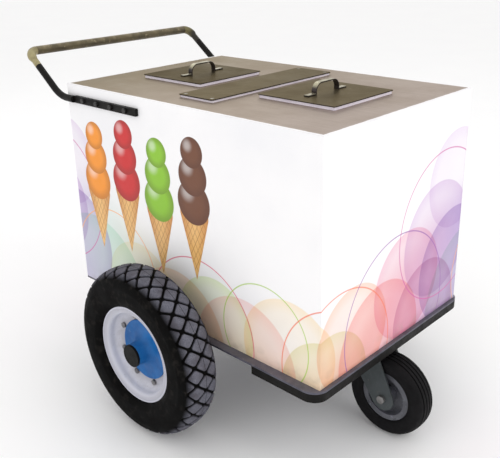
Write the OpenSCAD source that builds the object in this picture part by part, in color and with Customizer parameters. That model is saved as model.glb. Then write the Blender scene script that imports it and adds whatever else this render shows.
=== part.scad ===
// Ice cream push cart: an insulated cabinet with two lift-off hatch lids, carried by two
// pneumatic wheels and one swivelling caster, and pushed by a tubular handle at the rear.
// +X points forward to the caster, +Y to the left and +Z up. The origin is on the ground under the axle.
// All lengths are in millimetres.

/* [Cabinet] */
// Length of the cabinet over its panels
body_l = 800; // [650:1:960]
// Width of the cabinet over its panels
body_w = 535; // [440:1:650]
// Height of the cabinet from the floor plate to the top of the deck
body_h = 526; // [430:1:640]
// How far the middle of the cabinet lies ahead of the axle
body_ahead = 32; // [20:1:45]
// Thickness of the outer panels
panel_t = 2; // [1.5:0.5:4]
// Thickness of the insulation in the walls
wall_foam_t = 50; // [38:1:62]
// Thickness of the insulation under the liner
floor_foam_t = 60; // [40:1:80]
// Thickness of the insulation under the deck
roof_foam_t = 44; // [36:1:56]
// Thickness of the liner's sheet
liner_t = 2; // [1:0.5:4]
// Thickness of the cold plate
cold_plate_t = 45; // [25:1:56]

/* [Deck and hatches] */
// Thickness of the deck sheet
deck_t = 2; // [1:0.1:3]
// Depth of the deck's turned-down lip, which lies inside the panels
deck_lip_h = 14; // [8:1:18]
// Length of each lid along the cart
lid_l = 210; // [170:1:255]
// Width of each lid across the cart
lid_w = 212; // [170:1:300]
// Distance between the middles of the two lids
lid_pitch = 392; // [340:1:470]
// Thickness of the lid plates and of the centre cover
lid_t = 2; // [1.5:0.5:4]
// How far a lid lies on the deck around its hatch
lid_lap = 21; // [16:1:26]
// Height of the gasket under a lid
lid_gasket_t = 7; // [4:0.5:10]
// Wall of the plastic throat inside a hatch
throat_t = 5; // [3:0.5:8]
// How far a lid's plug reaches below the deck
plug_drop = 34; // [20:1:42]
// Length of the centre cover along the cart
cover_l = 108; // [80:1:140]
// Distance from the side of the cabinet to the centre cover
cover_margin = 61.5; // [40:0.5:90]
// How far the centre cover lies on the deck around its slot
cover_lap = 24; // [18:1:30]
// Height of the gasket under the centre cover
cover_gasket_t = 5; // [3:0.5:8]

/* [Lid handles] */
// Width of the strap along the cart
strap_w = 13; // [10:1:18]
// Thickness of the strap
strap_t = 3; // [2:0.5:4]
// Distance over the legs of the strap
strap_span = 82; // [66:1:100]
// Height of the strap above its lid
strap_h = 26; // [22:1:32]
// Length of each foot beside its leg
strap_foot = 26; // [20:1:32]
// Outer radius of the strap's upper bends
strap_bend_r = 20; // [10:1:22]

/* [Push handle] */
// Outer diameter of the crossbar
handle_d = 22; // [18:1:27]
// Outer diameter of the arms
arm_d = 17; // [14:1:20]
// Wall of the crossbar and the arms
handle_wall = 2.5; // [1.5:0.5:4]
// Distance from the cabinet's rear to the crossbar
handle_reach = 150.5; // [120:0.5:180]
// Height of the crossbar above the side bars
handle_rise = 99; // [80:1:120]
// Distance from the cabinet's rear to the middle of the arms' bend
bend_behind = 21; // [15:1:26]
// Radius of the bend behind the cabinet
handle_bend_r = 90; // [70:1:100]
// Radius of the elbows at the crossbar
elbow_r = 22; // [18:1:27]
// Straight run of the elbows on the arms' side
elbow_run = 32; // [24:1:40]
// Distance of the side bars below the deck top
bar_drop = 34; // [30:1:60]
// Height of the side bars
bar_h = 17; // [14:1:22]
// Thickness of the side bars
bar_t = 8; // [5:0.5:12]
// Length of the side bars
bar_l = 240; // [200:1:290]
// Distance from the cabinet's rear to the side bars
bar_start = 37; // [30:1:60]
// Number of bolts in each side bar
bar_bolts = 4; // [3:1:5]

/* [Base] */
// Thickness of the floor plate
floor_plate_t = 5; // [3:0.5:8]
// Overhang of the floor plate past the sides of the cabinet
ledge_side = 20; // [12:1:26]
// Overhang of the floor plate past the front of the cabinet
ledge_end = 8; // [5:1:12]
// How far the overhang reaches back from the axle
ledge_back = 60; // [48:1:72]
// Radius of the floor plate's corners
ledge_r = 35; // [20:1:50]
// Thickness of the bumper bar
bumper_t = 8; // [5:0.5:10]
// Reach of the bumper bar back from the front of the floor plate
bumper_leg = 178; // [150:1:215]
// Gap between the bumper bar's lower edge and the top of the caster's tyre
bumper_gap = 17; // [12:0.5:20]
// Side of the square cross tubes
cross_side = 20; // [16:1:24]
// Wall of the cross tubes
cross_wall = 2.5; // [1.5:0.5:4]
// Distance of the cross tubes' ends from the sides of the cabinet
cross_inset = 55; // [40:1:70]
// Side of the square axle beam
beam_side = 30; // [26:1:36]
// Height of the saddles between the axle beam and the floor plate
saddle_h = 14.5; // [10:0.5:20]

/* [Main wheels] */
// Outer diameter of the tyres
tyre_d = 405; // [335:1:490]
// Width of the tyres
tyre_w = 101; // [84:1:122]
// Gap between the tyres and the floor plate
wheel_gap = 26; // [20:1:32]
// Diameter of the bead seat
bead_d = 203; // [170:1:244]
// Height of the rim flange above the bead seat
flange_h = 14; // [10:1:17]
// Thickness of the rim's sheet
rim_t = 3; // [2:0.5:4]
// How far each side of the tyre stands past the rim
tyre_bulge = 12.5; // [10:0.5:15]
// Width of the flat ring between the hub's flange disc and the rim's cone
bolt_ring_w = 17.5; // [15:0.5:21]
// Number of rim bolts
rim_bolt_count = 8; // [5:1:10]
// Turn of the rim bolts from the front of the wheel
rim_bolt_turn = 18.5; // [0:0.5:45]
// Diameter of the axle
axle_d = 20; // [16:1:24]
// Outer diameter of the wheel bearings
bearing_od = 47; // [40:1:57]
// Width of the wheel bearings
bearing_w = 14; // [10:1:17]

/* [Caster] */
// Width of the caster's tyre
caster_w = 60; // [50:1:72]
// Distance from the swivel axis to the caster's axle
caster_trail = 60; // [50:1:72]
// Distance of the swivel axis behind the cabinet's front
caster_setback = 60; // [50:1:72]
// Diameter of the caster's rim flange
caster_rim_d = 120; // [100:1:144]
// Thickness of the caster's top plate
caster_plate_t = 6; // [5:0.5:8]
// Height of the swivel bearing
swivel_h = 16; // [12:1:20]
// Thickness of the fork's crown
crown_t = 8; // [6:0.5:10]
// Gap between the caster's tyre and the fork's crown
crown_gap = 7; // [5:0.5:10]
// Thickness of the fork's legs
fork_t = 5; // [4:0.5:8]
// Diameter of the caster's axle
caster_axle_d = 12; // [8:1:14]
// Diameter of the kingpin
kingpin_d = 14; // [10:1:16]

/* [Hidden] */
$fn = 72;

// Overrun of a cut past the face that it leaves
overrun = 1;
// Gap between pieces that stay just clear of each other
seat_gap = 0.3;
// Radial clearance of a shaft in its bore
run_gap = 0.05;
// Radial clearance of a bolt in its hole
bolt_gap = 0.2;

// Places of the cabinet
rear_x = body_ahead - body_l / 2;
front_x = body_ahead + body_l / 2;
side_y = body_w / 2;
axle_z = tyre_d / 2;
floor_under = axle_z + beam_side / 2 + saddle_h;
floor_z = floor_under + floor_plate_t;
deck_z = floor_z + body_h;
deck_under = deck_z - deck_t;
roof_under = deck_under - roof_foam_t;
liner_z = floor_z + floor_foam_t;

// Inner faces of the panels, and outer faces of the liner
in_rear = rear_x + panel_t;
in_front = front_x - panel_t;
in_side = side_y - panel_t;
liner_rear = in_rear + wall_foam_t;
liner_front = in_front - wall_foam_t;
liner_side = in_side - wall_foam_t;
cold_plate_gap = 8;
board_gap = 0.3;

// Inner faces of the deck's lip
lip_rear = in_rear + deck_t;
lip_front = in_front - deck_t;
lip_side = in_side - deck_t;

// Hatches: each throat is as wide as the hole in the deck
lid_front_x = body_ahead + lid_pitch / 2;
lid_rear_x = body_ahead - lid_pitch / 2;
throat_l = lid_l - 2 * lid_lap;
throat_w = lid_w - 2 * lid_lap;
hatch_l = throat_l + 2 * throat_t;
hatch_w = throat_w + 2 * throat_t;
plug_gap = 3;
gasket_inset = 2;
gasket_back = 1.5;
lid_r = 5;
lid_z = deck_z + lid_gasket_t;

// Centre cover over the slot that the cold plate is lifted out of
cover_w = body_w - 2 * cover_margin;
slot_l = cover_l - 2 * cover_lap;
slot_w = cover_w - 2 * cover_lap;
cover_z = deck_z + cover_gasket_t;
screw_d = 5;
screw_head_d = 9;
screw_reach = 10;
screw_inset = 12;

// Push handle
bar_z = deck_z - bar_drop;
arm_y = side_y + arm_d / 2 + seat_gap;
crossbar_x = rear_x - handle_reach;
crossbar_z = bar_z + handle_rise;
arm_front_x = rear_x + bar_start;
arm_corner_x = rear_x - bend_behind;
handle_slope = atan(handle_rise / (handle_reach - bend_behind));
bend_tangent = handle_bend_r * tan(handle_slope / 2);
bend_start_x = arm_corner_x + bend_tangent;
arm_slant = handle_rise / sin(handle_slope) - bend_tangent - elbow_r - elbow_run;
arm_plug = 12;
spigot_l = 18;
elbow_taper = 10;
bar_bolt_d = 8;
bar_bolt_reach = 24;
bar_bolt_head_d = 13;
bar_bolt_head_h = 5;
bar_bolt_inset = 38;

// Base
plate_rear = -ledge_back;
plate_front = front_x + ledge_end;
plate_side = side_y + ledge_side;
saddle_l = 60;
saddle_w = 44;
saddle_y = side_y - cross_inset - saddle_w / 2;
axle_bore = axle_d + 2 * run_gap;
bumper_start = plate_front - bumper_leg;

// Main wheels, along each wheel's own axis with plus outwards
wheel_y = plate_side + wheel_gap + tyre_w / 2;
tyre_r = tyre_d / 2;
tyre_half = tyre_w / 2;
bead_r = bead_d / 2;
flange_r = bead_r + flange_h;
rim_half = tyre_half - tyre_bulge;
seat_w = 17;
well_drop = 8;
well_r = bead_r - well_drop;
hub_wall = 3.5;
hub_d = bearing_od + 2 * hub_wall;
hub_disc_r = well_r - rim_t - bolt_ring_w;
hub_disc_t = 4;
hub_proud = 2;
hub_back = 7;
hub_out = rim_half + hub_proud;
hub_in = -rim_half - hub_back;
cap_t = 6;
cap_spigot = 4;
cap_wall = 3;
washer_t = 3;
nut_t = 12;
nut_d = 34;
bearing_recess = 3;
bearing_out = hub_out - nut_t - washer_t - bearing_recess;
bearing_in = hub_in + bearing_recess;
bearing_lip = 3.5;
spacer_wall = 4;
spacer_d = axle_d + 2 * spacer_wall;
axle_tip = 1;
axle_end = wheel_y + bearing_out + seat_gap + washer_t + nut_t + axle_tip;
bolt_circle_r = hub_disc_r + bolt_ring_w / 2;
rim_bolt_d = 8;
rim_bolt_head_d = 14.5;
rim_bolt_head_h = 5.5;
rim_joint = 0.2;

// Tyre section
tread_t = 13;
casing_t = 8;
bead_toe_w = 15;
bead_toe_h = 7;
belly_share = 0.48;
squareness = 2.8;
belly_r = bead_r + (tyre_r - bead_r) * belly_share;
foot_gap = 1;
foot_r = flange_r + rim_t / 2 + foot_gap;
foot_half = rim_half - rim_t / 2;
bead_half = rim_half - rim_t - seat_gap;
bead_in_r = bead_r + seat_gap;
toe_r = bead_in_r + bead_toe_h;
toe_half = bead_half - bead_toe_w;
tube_gap = 0.5;
tube_wall = 2.5;
tube_r = min(tyre_half - casing_t, (tyre_r - tread_t - toe_r) / 2) - tube_gap;
tube_c = min(tyre_r - tread_t - seat_gap - tube_r, belly_r);
stem_d = 8;
stem_end_r = well_r - 2 * stem_d;
stem_z = rim_t + stem_d;
stem_angle = rim_bolt_turn + 180 / rim_bolt_count;

// Caster: its wheel fills the height that its plate, swivel bearing and crown leave
pivot_x = front_x - caster_setback;
caster_plate_z = floor_under - caster_plate_t;
crown_top = caster_plate_z - swivel_h;
crown_z = crown_top - crown_t;
caster_d = crown_z - crown_gap;
caster_r = caster_d / 2;
caster_x = pivot_x + caster_trail;
bumper_h = floor_under - caster_d - bumper_gap;
caster_leg_gap = 2;
caster_hub_half = caster_w / 2 + caster_leg_gap;
fork_in = caster_hub_half + seat_gap;
fork_out = fork_in + fork_t;
fork_top_back = 54;
fork_top_ahead = 39;
fork_eye_r = 29;
race_d = 60;
race_groove = 3;
pin_head_d = 24;
pin_head_h = 3;
pin_nut_h = 7;
pin_nut_d = 24;
caster_nut_h = 8;
caster_nut_d = 21;
caster_plate_l = 110;
caster_plate_w = 96;
caster_bolt_d = 8;
caster_bolt_inset = 13;
caster_bolt_head_h = 5.5;
caster_bolt_head_d = 14.5;
caster_bearing_od = 32;
caster_bearing_w = 10;
caster_hub_wall = 4;
caster_sheet = 3;
caster_flange_h = 10;
caster_barrel_r = caster_rim_d / 2 - caster_flange_h;
caster_rim_share = 0.4;
caster_rim_half = caster_w * caster_rim_share;
caster_belly_share = 0.5;
caster_squareness = 3;
groove_w = 3;
groove_deep = 4;
groove_shares = [-0.52, -0.18, 0.18, 0.52];

// A box between two corners
module block(low, high) {
    translate(low) cube(high - low);
}

// A level plate with rounded corners, from its middle
module rounded_plate(l, w, t, r) {
    linear_extrude(t) rounded_outline(l, w, r);
}

module rounded_outline(l, w, r) {
    square([l - 2 * r, w], center = true);
    square([l, w - 2 * r], center = true);
    for (sx = [-1, 1])
        for (sy = [-1, 1])
            translate([sx * (l / 2 - r), sy * (w / 2 - r)]) circle(r);
}

// A ring of rounded outline around a rectangular hole
module gasket_ring(l, w, hole_l, hole_w, t, r) {
    difference() {
        rounded_plate(l, w, t, r);
        translate([0, 0, -overrun])
            rounded_plate(hole_l, hole_w, t + 2 * overrun, r);
    }
}

// A cylinder along Y
module rod_y(d, from_y, to_y) {
    translate([0, from_y, 0]) rotate([-90, 0, 0]) cylinder(d = d, h = to_y - from_y);
}

// A ring around the Z axis
module ring(d, bore, z, h) {
    translate([0, 0, z])
        difference() {
            cylinder(d = d, h = h);
            translate([0, 0, -overrun]) cylinder(d = bore, h = h + 2 * overrun);
        }
}

// The same piece on the left side
module on_left() {
    mirror([0, 1, 0]) children();
}

// Places of the bolts in a side bar, on the right side, with the shank pointing inwards
module at_bar_bolts() {
    step = (bar_l - 2 * bar_bolt_inset) / (bar_bolts - 1);
    for (i = [0 : bar_bolts - 1])
        translate([arm_front_x + bar_bolt_inset + i * step, -side_y - bar_t, bar_z])
            rotate([-90, 0, 0]) children();
}

module bar_bolt_holes() {
    at_bar_bolts()
        translate([0, 0, -overrun])
            cylinder(d = bar_bolt_d + 2 * bolt_gap, h = bar_t + bar_bolt_reach + 2 * overrun);
}

// Places of the four screws in the centre cover
module at_cover_screws() {
    for (sx = [-1, 1])
        for (sy = [-1, 1])
            translate([body_ahead + sx * (cover_l / 2 - screw_inset), sy * (cover_w / 2 - screw_inset), 0])
                children();
}

module cover_screw_holes() {
    at_cover_screws()
        translate([0, 0, deck_z - screw_reach - overrun])
            cylinder(d = screw_d + 2 * bolt_gap, h = screw_reach + cover_gasket_t + lid_t + overrun);
}

// Cabinet panels
module side_panel() {
    difference() {
        block([rear_x, -side_y, floor_z], [front_x, -in_side, deck_under]);
        bar_bolt_holes();
    }
}

module panel_right() {
    color("white") side_panel();
}

module panel_left() {
    color("white") on_left() side_panel();
}

module panel_front() {
    color("white") block([in_front, -in_side, floor_z], [front_x, in_side, deck_under]);
}

module panel_rear() {
    color("white") block([rear_x, -in_side, floor_z], [in_rear, in_side, deck_under]);
}

// Insulation boards
module side_board() {
    difference() {
        block([in_rear, -in_side, liner_z + board_gap], [in_front, -liner_side, roof_under]);
        bar_bolt_holes();
    }
}

// The floor board and the four wall boards that stand on it
module wall_insulation() {
    end_half = liner_side - board_gap;
    low = liner_z + board_gap;
    color("khaki") {
        block([in_rear, -in_side, floor_z], [in_front, in_side, liner_z]);
        side_board();
        on_left() side_board();
        block([in_rear, -end_half, low], [liner_rear, end_half, roof_under]);
        block([liner_front, -end_half, low], [in_front, end_half, roof_under]);
    }
}

// One board of the roof, set back from its neighbours by half a joint
module roof_board(x_low, x_high, y_low, y_high) {
    back = board_gap / 2;
    block([x_low + back, y_low + back, roof_under], [x_high - back, y_high - back, deck_under]);
}

// Boards under the deck, laid around the two throats and the slot
module roof_insulation() {
    wide = max(hatch_w, slot_w) / 2;
    holes = [
        [lid_rear_x, hatch_l, hatch_w / 2],
        [body_ahead, slot_l, slot_w / 2],
        [lid_front_x, hatch_l, hatch_w / 2]
    ];
    edges = concat([lip_rear], [for (h = holes, s = [-1, 1]) h[0] + s * h[1] / 2], [lip_front]);
    color("khaki")
        difference() {
            union() {
                roof_board(lip_rear, lip_front, -lip_side, -wide);
                roof_board(lip_rear, lip_front, wide, lip_side);
                for (i = [0 : 2 : len(edges) - 1]) roof_board(edges[i], edges[i + 1], -wide, wide);
                for (h = holes)
                    if (h[2] < wide)
                        for (side = [0, 1])
                            mirror([0, side, 0])
                                roof_board(h[0] - h[1] / 2, h[0] + h[1] / 2, h[2], wide);
            }
            cover_screw_holes();
            bar_bolt_holes();
            on_left() bar_bolt_holes();
        }
}

module inner_liner() {
    color("gainsboro")
        difference() {
            block([liner_rear, -liner_side, liner_z], [liner_front, liner_side, roof_under]);
            block(
                [liner_rear + liner_t, -liner_side + liner_t, liner_z + liner_t],
                [liner_front - liner_t, liner_side - liner_t, roof_under + overrun]
            );
        }
}

module cold_plate() {
    half = liner_side - liner_t - seat_gap;
    color("lightsteelblue")
        block(
            [body_ahead - cold_plate_t / 2, -half, liner_z + liner_t],
            [body_ahead + cold_plate_t / 2, half, roof_under - cold_plate_gap]
        );
}

// Deck and hatches
module top_deck() {
    color("silver")
        difference() {
            union() {
                block([rear_x, -side_y, deck_under], [front_x, side_y, deck_z]);
                block([in_rear, -in_side, deck_z - deck_lip_h], [in_front, in_side, deck_z]);
            }
            block([lip_rear, -lip_side, deck_z - deck_lip_h - overrun], [lip_front, lip_side, deck_under]);
            for (x = [lid_rear_x, lid_front_x])
                translate([x, 0, deck_under - overrun])
                    linear_extrude(deck_t + 2 * overrun) square([throat_l, throat_w], center = true);
            translate([body_ahead, 0, deck_under - overrun])
                linear_extrude(deck_t + 2 * overrun) square([slot_l, slot_w], center = true);
            cover_screw_holes();
        }
}

module hatch_throats() {
    color("whitesmoke")
        for (x = [lid_rear_x, lid_front_x])
            translate([x, 0, roof_under])
                linear_extrude(roof_foam_t)
                    difference() {
                        square([hatch_l, hatch_w], center = true);
                        square([throat_l, throat_w], center = true);
                    }
}

module centre_cover() {
    color("gray")
        difference() {
            translate([body_ahead, 0, cover_z]) rounded_plate(cover_l, cover_w, lid_t, lid_r);
            at_cover_screws() translate([0, 0, cover_z]) screw_head(bolt_gap);
        }
}

module centre_gasket() {
    color("white")
        difference() {
            translate([body_ahead, 0, deck_z])
                gasket_ring(
                    cover_l - 2 * gasket_inset, cover_w - 2 * gasket_inset,
                    slot_l + 2 * gasket_back, slot_w + 2 * gasket_back,
                    cover_gasket_t, lid_r
                );
            cover_screw_holes();
        }
}

module centre_plug() {
    color("khaki")
        block(
            [body_ahead - slot_l / 2 + seat_gap, -slot_w / 2 + seat_gap, roof_under],
            [body_ahead + slot_l / 2 - seat_gap, slot_w / 2 - seat_gap, cover_z]
        );
}

// Sunk head of a cover screw, grown all round by a gap for its seat
module screw_head(gap) {
    translate([0, 0, -gap])
        cylinder(d1 = screw_d + 2 * gap, d2 = screw_head_d + 2 * gap, h = lid_t + gap);
    translate([0, 0, lid_t]) cylinder(d = screw_head_d + 2 * gap, h = gap);
    translate([0, 0, -overrun - gap]) cylinder(d = screw_d + 2 * gap, h = overrun + gap);
}

module centre_screws() {
    color("silver")
        at_cover_screws() {
            translate([0, 0, cover_z])
                cylinder(d1 = screw_d, d2 = screw_head_d, h = lid_t);
            translate([0, 0, deck_z - screw_reach])
                cylinder(d = screw_d, h = screw_reach + cover_gasket_t);
        }
}

// Lids
module lid_plate(x) {
    color("gray") translate([x, 0, lid_z]) rounded_plate(lid_l, lid_w, lid_t, lid_r);
}

module lid_gasket(x) {
    color("lavender")
        translate([x, 0, deck_z])
            gasket_ring(
                lid_l - 2 * gasket_inset, lid_w - 2 * gasket_inset,
                throat_l + 2 * gasket_back, throat_w + 2 * gasket_back,
                lid_gasket_t, lid_r
            );
}

module lid_plug(x) {
    color("whitesmoke")
        translate([x, 0, deck_z - plug_drop])
            rounded_plate(
                throat_l - 2 * plug_gap, throat_w - 2 * plug_gap, plug_drop + lid_gasket_t, lid_r
            );
}

// A strap bent into an arch across the cart, with its feet turned outwards
module lid_handle(x) {
    foot_end = strap_span / 2 + strap_foot;
    color("gainsboro")
        translate([x - strap_w / 2, 0, lid_z + lid_t])
            rotate([90, 0, 90])
                linear_extrude(strap_w)
                    difference() {
                        union() {
                            strap_arch(strap_span / 2, strap_h, strap_bend_r);
                            translate([-foot_end, 0]) square([2 * foot_end, strap_t]);
                        }
                        translate([0, -overrun])
                            strap_arch(
                                strap_span / 2 - strap_t, strap_h - strap_t + overrun, strap_bend_r - strap_t
                            );
                    }
}

// Outline of an arch: a rectangle with rounded upper corners
module strap_arch(half, h, r) {
    translate([-half, 0]) square([2 * half, h - r]);
    translate([-half + r, 0]) square([2 * (half - r), h]);
    intersection() {
        for (s = [-1, 1])
            translate([s * (half - r), h - r]) circle(r);
        translate([-half, 0]) square([2 * half, h]);
    }
}

module lid_plate_front() { lid_plate(lid_front_x); }
module lid_gasket_front() { lid_gasket(lid_front_x); }
module lid_plug_front() { lid_plug(lid_front_x); }
module lid_handle_front() { lid_handle(lid_front_x); }
module lid_plate_rear() { lid_plate(lid_rear_x); }
module lid_gasket_rear() { lid_gasket(lid_rear_x); }
module lid_plug_rear() { lid_plug(lid_rear_x); }
module lid_handle_rear() { lid_handle(lid_rear_x); }

// Push handle, made on the right side
module handle_bar() {
    difference() {
        block(
            [arm_front_x, -side_y - bar_t, bar_z - bar_h / 2],
            [arm_front_x + bar_l, -side_y, bar_z + bar_h / 2]
        );
        bar_bolt_holes();
    }
}

module handle_bar_right() {
    color("black") handle_bar();
}

module handle_bar_left() {
    color("black") on_left() handle_bar();
}

// The arm's run at a given diameter, from a front end to the elbow
module arm_run(d, front_x_end, past) {
    translate([bend_start_x, -arm_y, bar_z])
        rotate([0, 90, 0]) cylinder(d = d, h = front_x_end - bend_start_x);
    translate([bend_start_x, -arm_y, bar_z + handle_bend_r])
        rotate([90, 90, 180])
            rotate_extrude(angle = handle_slope) translate([handle_bend_r, 0]) circle(d = d);
    translate([arm_corner_x, -arm_y, bar_z])
        rotate([0, handle_slope - 90, 0])
            translate([0, 0, bend_tangent]) cylinder(d = d, h = arm_slant + past);
}

module handle_arm() {
    difference() {
        arm_run(arm_d, arm_front_x, 0);
        arm_run(arm_d - 2 * handle_wall, arm_front_x - arm_plug, overrun);
    }
}

module handle_arm_right() {
    color("black") handle_arm();
}

module handle_arm_left() {
    color("black") on_left() handle_arm();
}

// A bent elbow that narrows from the crossbar to the arm, with a spigot in each
module handle_elbow() {
    bore_less = 2 * handle_wall + 2 * run_gap;
    translate([crossbar_x, -arm_y, crossbar_z])
        rotate([0, handle_slope, 0])
            rotate([180, 0, -90])
                translate([-elbow_r, -elbow_r, 0]) {
                    rotate_extrude(angle = 90) translate([elbow_r, 0]) circle(d = handle_d);
                    translate([elbow_r, 0, 0]) rotate([90, 0, 0]) {
                        cylinder(d1 = handle_d, d2 = arm_d, h = elbow_taper);
                        cylinder(d = arm_d, h = elbow_run);
                        cylinder(d = arm_d - bore_less, h = elbow_run + spigot_l);
                    }
                    translate([0, elbow_r, 0])
                        rotate([0, -90, 0]) cylinder(d = handle_d - bore_less, h = spigot_l);
                }
}

module handle_elbows() {
    color("tan") {
        handle_elbow();
        on_left() handle_elbow();
    }
}

module handle_crossbar() {
    half = arm_y - elbow_r;
    color("olivedrab")
        translate([crossbar_x, 0, crossbar_z])
            difference() {
                rod_y(handle_d, -half, half);
                rod_y(handle_d - 2 * handle_wall, -half - overrun, half + overrun);
            }
}

module bar_bolt() {
    translate([0, 0, -bar_bolt_head_h])
        cylinder(d = bar_bolt_head_d, h = bar_bolt_head_h, $fn = 6);
    cylinder(d = bar_bolt_d, h = bar_t + bar_bolt_reach);
}

module handle_bolts() {
    color("dimgray") {
        at_bar_bolts() bar_bolt();
        on_left() at_bar_bolts() bar_bolt();
    }
}

// Base
module at_plate_middle() {
    translate([(plate_rear + plate_front) / 2, 0, 0]) children();
}

module floor_plate() {
    color("dimgray")
        difference() {
            union() {
                translate([0, 0, floor_under])
                    at_plate_middle()
                        rounded_plate(plate_front - plate_rear, 2 * plate_side, floor_plate_t, ledge_r);
                block([rear_x, -side_y, floor_under], [body_ahead, side_y, floor_z]);
            }
            at_caster_bolts()
                translate([0, 0, -overrun])
                    cylinder(d = caster_bolt_d + 2 * bolt_gap, h = floor_plate_t + 2 * overrun);
        }
}

// A flat bar on edge that follows the floor plate's outline around the front
module bumper_bar() {
    length = plate_front - plate_rear;
    color("black")
        translate([0, 0, floor_under - bumper_h])
            linear_extrude(bumper_h)
                intersection() {
                    at_plate_middle()
                        difference() {
                            rounded_outline(length, 2 * plate_side, ledge_r);
                            rounded_outline(
                                length - 2 * bumper_t, 2 * (plate_side - bumper_t), ledge_r - bumper_t
                            );
                        }
                    translate([bumper_start, -plate_side - overrun])
                        square([bumper_leg + overrun, 2 * (plate_side + overrun)]);
                }
}

// A square tube across the cart under the floor plate
module cross_tube(x, half) {
    translate([x, 0, floor_under - cross_side])
        difference() {
            block([-cross_side / 2, -half, 0], [cross_side / 2, half, cross_side]);
            block(
                [-cross_side / 2 + cross_wall, -half - overrun, cross_wall],
                [cross_side / 2 - cross_wall, half + overrun, cross_side - cross_wall]
            );
        }
}

module cross_tubes() {
    short_half = side_y - cross_inset;
    front_tube_x = bumper_start + cross_side;
    color("black") {
        cross_tube(rear_x + cross_inset, short_half);
        cross_tube(front_tube_x / 2, short_half);
        cross_tube(front_tube_x, plate_side - bumper_t);
    }
}

module axle_beam() {
    half = beam_side / 2;
    color("black")
        translate([0, 0, axle_z])
            difference() {
                block([-half, -plate_side, -half], [half, plate_side, half]);
                block(
                    [-axle_bore / 2, -plate_side - overrun, -axle_bore / 2],
                    [axle_bore / 2, plate_side + overrun, axle_bore / 2]
                );
            }
}

module axle_saddles() {
    color("black")
        for (s = [-1, 1])
            translate([0, s * saddle_y, floor_under - saddle_h])
                linear_extrude(saddle_h) square([saddle_l, saddle_w], center = true);
}

// Axle, its spacers and its nuts
module axle() {
    color("silver") translate([0, 0, axle_z]) rod_y(axle_d, -axle_end, axle_end);
}

module axle_spacer() {
    translate([0, 0, axle_z])
        difference() {
            rod_y(spacer_d, -wheel_y - bearing_in + seat_gap, -plate_side);
            rod_y(axle_bore, -wheel_y, -plate_side + overrun);
        }
}

module axle_spacers() {
    color("gray") {
        axle_spacer();
        on_left() axle_spacer();
    }
}

// A washer and a nut on the axle, against the outer bearing
module axle_nut() {
    color("silver")
        at_wheel() {
            ring(nut_d, axle_bore, bearing_out + seat_gap, washer_t);
            translate([0, 0, bearing_out + seat_gap + washer_t])
                difference() {
                    cylinder(d = nut_d, h = nut_t, $fn = 6);
                    translate([0, 0, -overrun]) cylinder(d = axle_bore, h = nut_t + 2 * overrun);
                }
        }
}

module axle_nuts() {
    axle_nut();
    on_left() axle_nut();
}

// Main wheels, made on the right side around their own axis
module at_wheel() {
    translate([0, -wheel_y, axle_z]) rotate([90, 0, 0]) children();
}

// A point of a tyre's outline above its widest place, at an angle from one side over the crown
function over_crown(angle, belly, crown, half, square_to) = [
    belly + (crown - belly) * pow(sin(angle), 2 / square_to),
    half * sign(cos(angle)) * pow(abs(cos(angle)), 2 / square_to)
];

// A point of a tyre's outline below its widest place, at an angle from the side down to the foot
function under_belly(angle, belly, foot, half, foot_half_w, side) = [
    belly - (belly - foot) * sin(angle),
    side * (foot_half_w + (half - foot_half_w) * cos(angle))
];

function tyre_outline() = concat(
    [for (a = [90 : -15 : 15]) under_belly(a, belly_r, foot_r, tyre_half, foot_half, 1)],
    [for (a = [0 : 10 : 180]) over_crown(a, belly_r, tyre_r, tyre_half, squareness)],
    [for (a = [15 : 15 : 90]) under_belly(a, belly_r, foot_r, tyre_half, foot_half, -1)],
    [[foot_r, -bead_half], [bead_in_r, -bead_half], [bead_in_r, -toe_half - bead_toe_h / 2]],
    [for (a = [90 : -15 : 15]) under_belly(a, belly_r, toe_r, tyre_half - casing_t, toe_half, -1)],
    [for (a = [180 : -10 : 0]) over_crown(a, belly_r, tyre_r - tread_t, tyre_half - casing_t, squareness)],
    [for (a = [15 : 15 : 90]) under_belly(a, belly_r, toe_r, tyre_half - casing_t, toe_half, 1)],
    [[bead_in_r, toe_half + bead_toe_h / 2], [bead_in_r, bead_half], [foot_r, bead_half]]
);

module tyre() {
    color("black") at_wheel() rotate_extrude() polygon(tyre_outline());
}

// The inner tube with its valve stem
module inner_tube() {
    color("dimgray")
        at_wheel() {
            rotate_extrude()
                translate([tube_c, 0])
                    difference() {
                        circle(tube_r);
                        circle(tube_r - tube_wall);
                    }
            valve_stem(stem_d);
        }
}

module valve_stem(d) {
    rotate([0, 0, stem_angle])
        translate([stem_end_r, 0, stem_z])
            rotate([0, 90, 0]) cylinder(d = d, h = tube_c - tube_r + 2 * tube_wall - stem_end_r);
}

// One pressed half of the rim: flange, bead seat, cone and disc
module rim_half_shell() {
    seat_in = rim_half - rim_t - seat_w;
    rotate_extrude() {
        polygon([
            [hub_d / 2 + run_gap, rim_joint / 2],
            [well_r, rim_joint / 2],
            [bead_r, seat_in],
            [bead_r, rim_half - rim_t],
            [flange_r, rim_half - rim_t],
            [flange_r, rim_half],
            [bead_r - rim_t, rim_half],
            [bead_r - rim_t, seat_in],
            [well_r - rim_t, rim_t],
            [hub_d / 2 + run_gap, rim_t]
        ]);
        translate([flange_r, rim_half - rim_t / 2]) circle(d = rim_t);
    }
}

module at_rim_bolts() {
    for (i = [0 : rim_bolt_count - 1])
        rotate([0, 0, rim_bolt_turn + i * 360 / rim_bolt_count])
            translate([bolt_circle_r, 0, 0]) children();
}

module rim() {
    color("gainsboro")
        at_wheel()
            for (inside = [0, 1])
                mirror([0, 0, inside])
                    difference() {
                        rim_half_shell();
                        at_rim_bolts()
                            translate([0, 0, -overrun])
                                cylinder(d = rim_bolt_d + 2 * bolt_gap, h = rim_t + 2 * overrun);
                        if (inside == 0) valve_stem(stem_d + 2 * bolt_gap);
                    }
}

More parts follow.
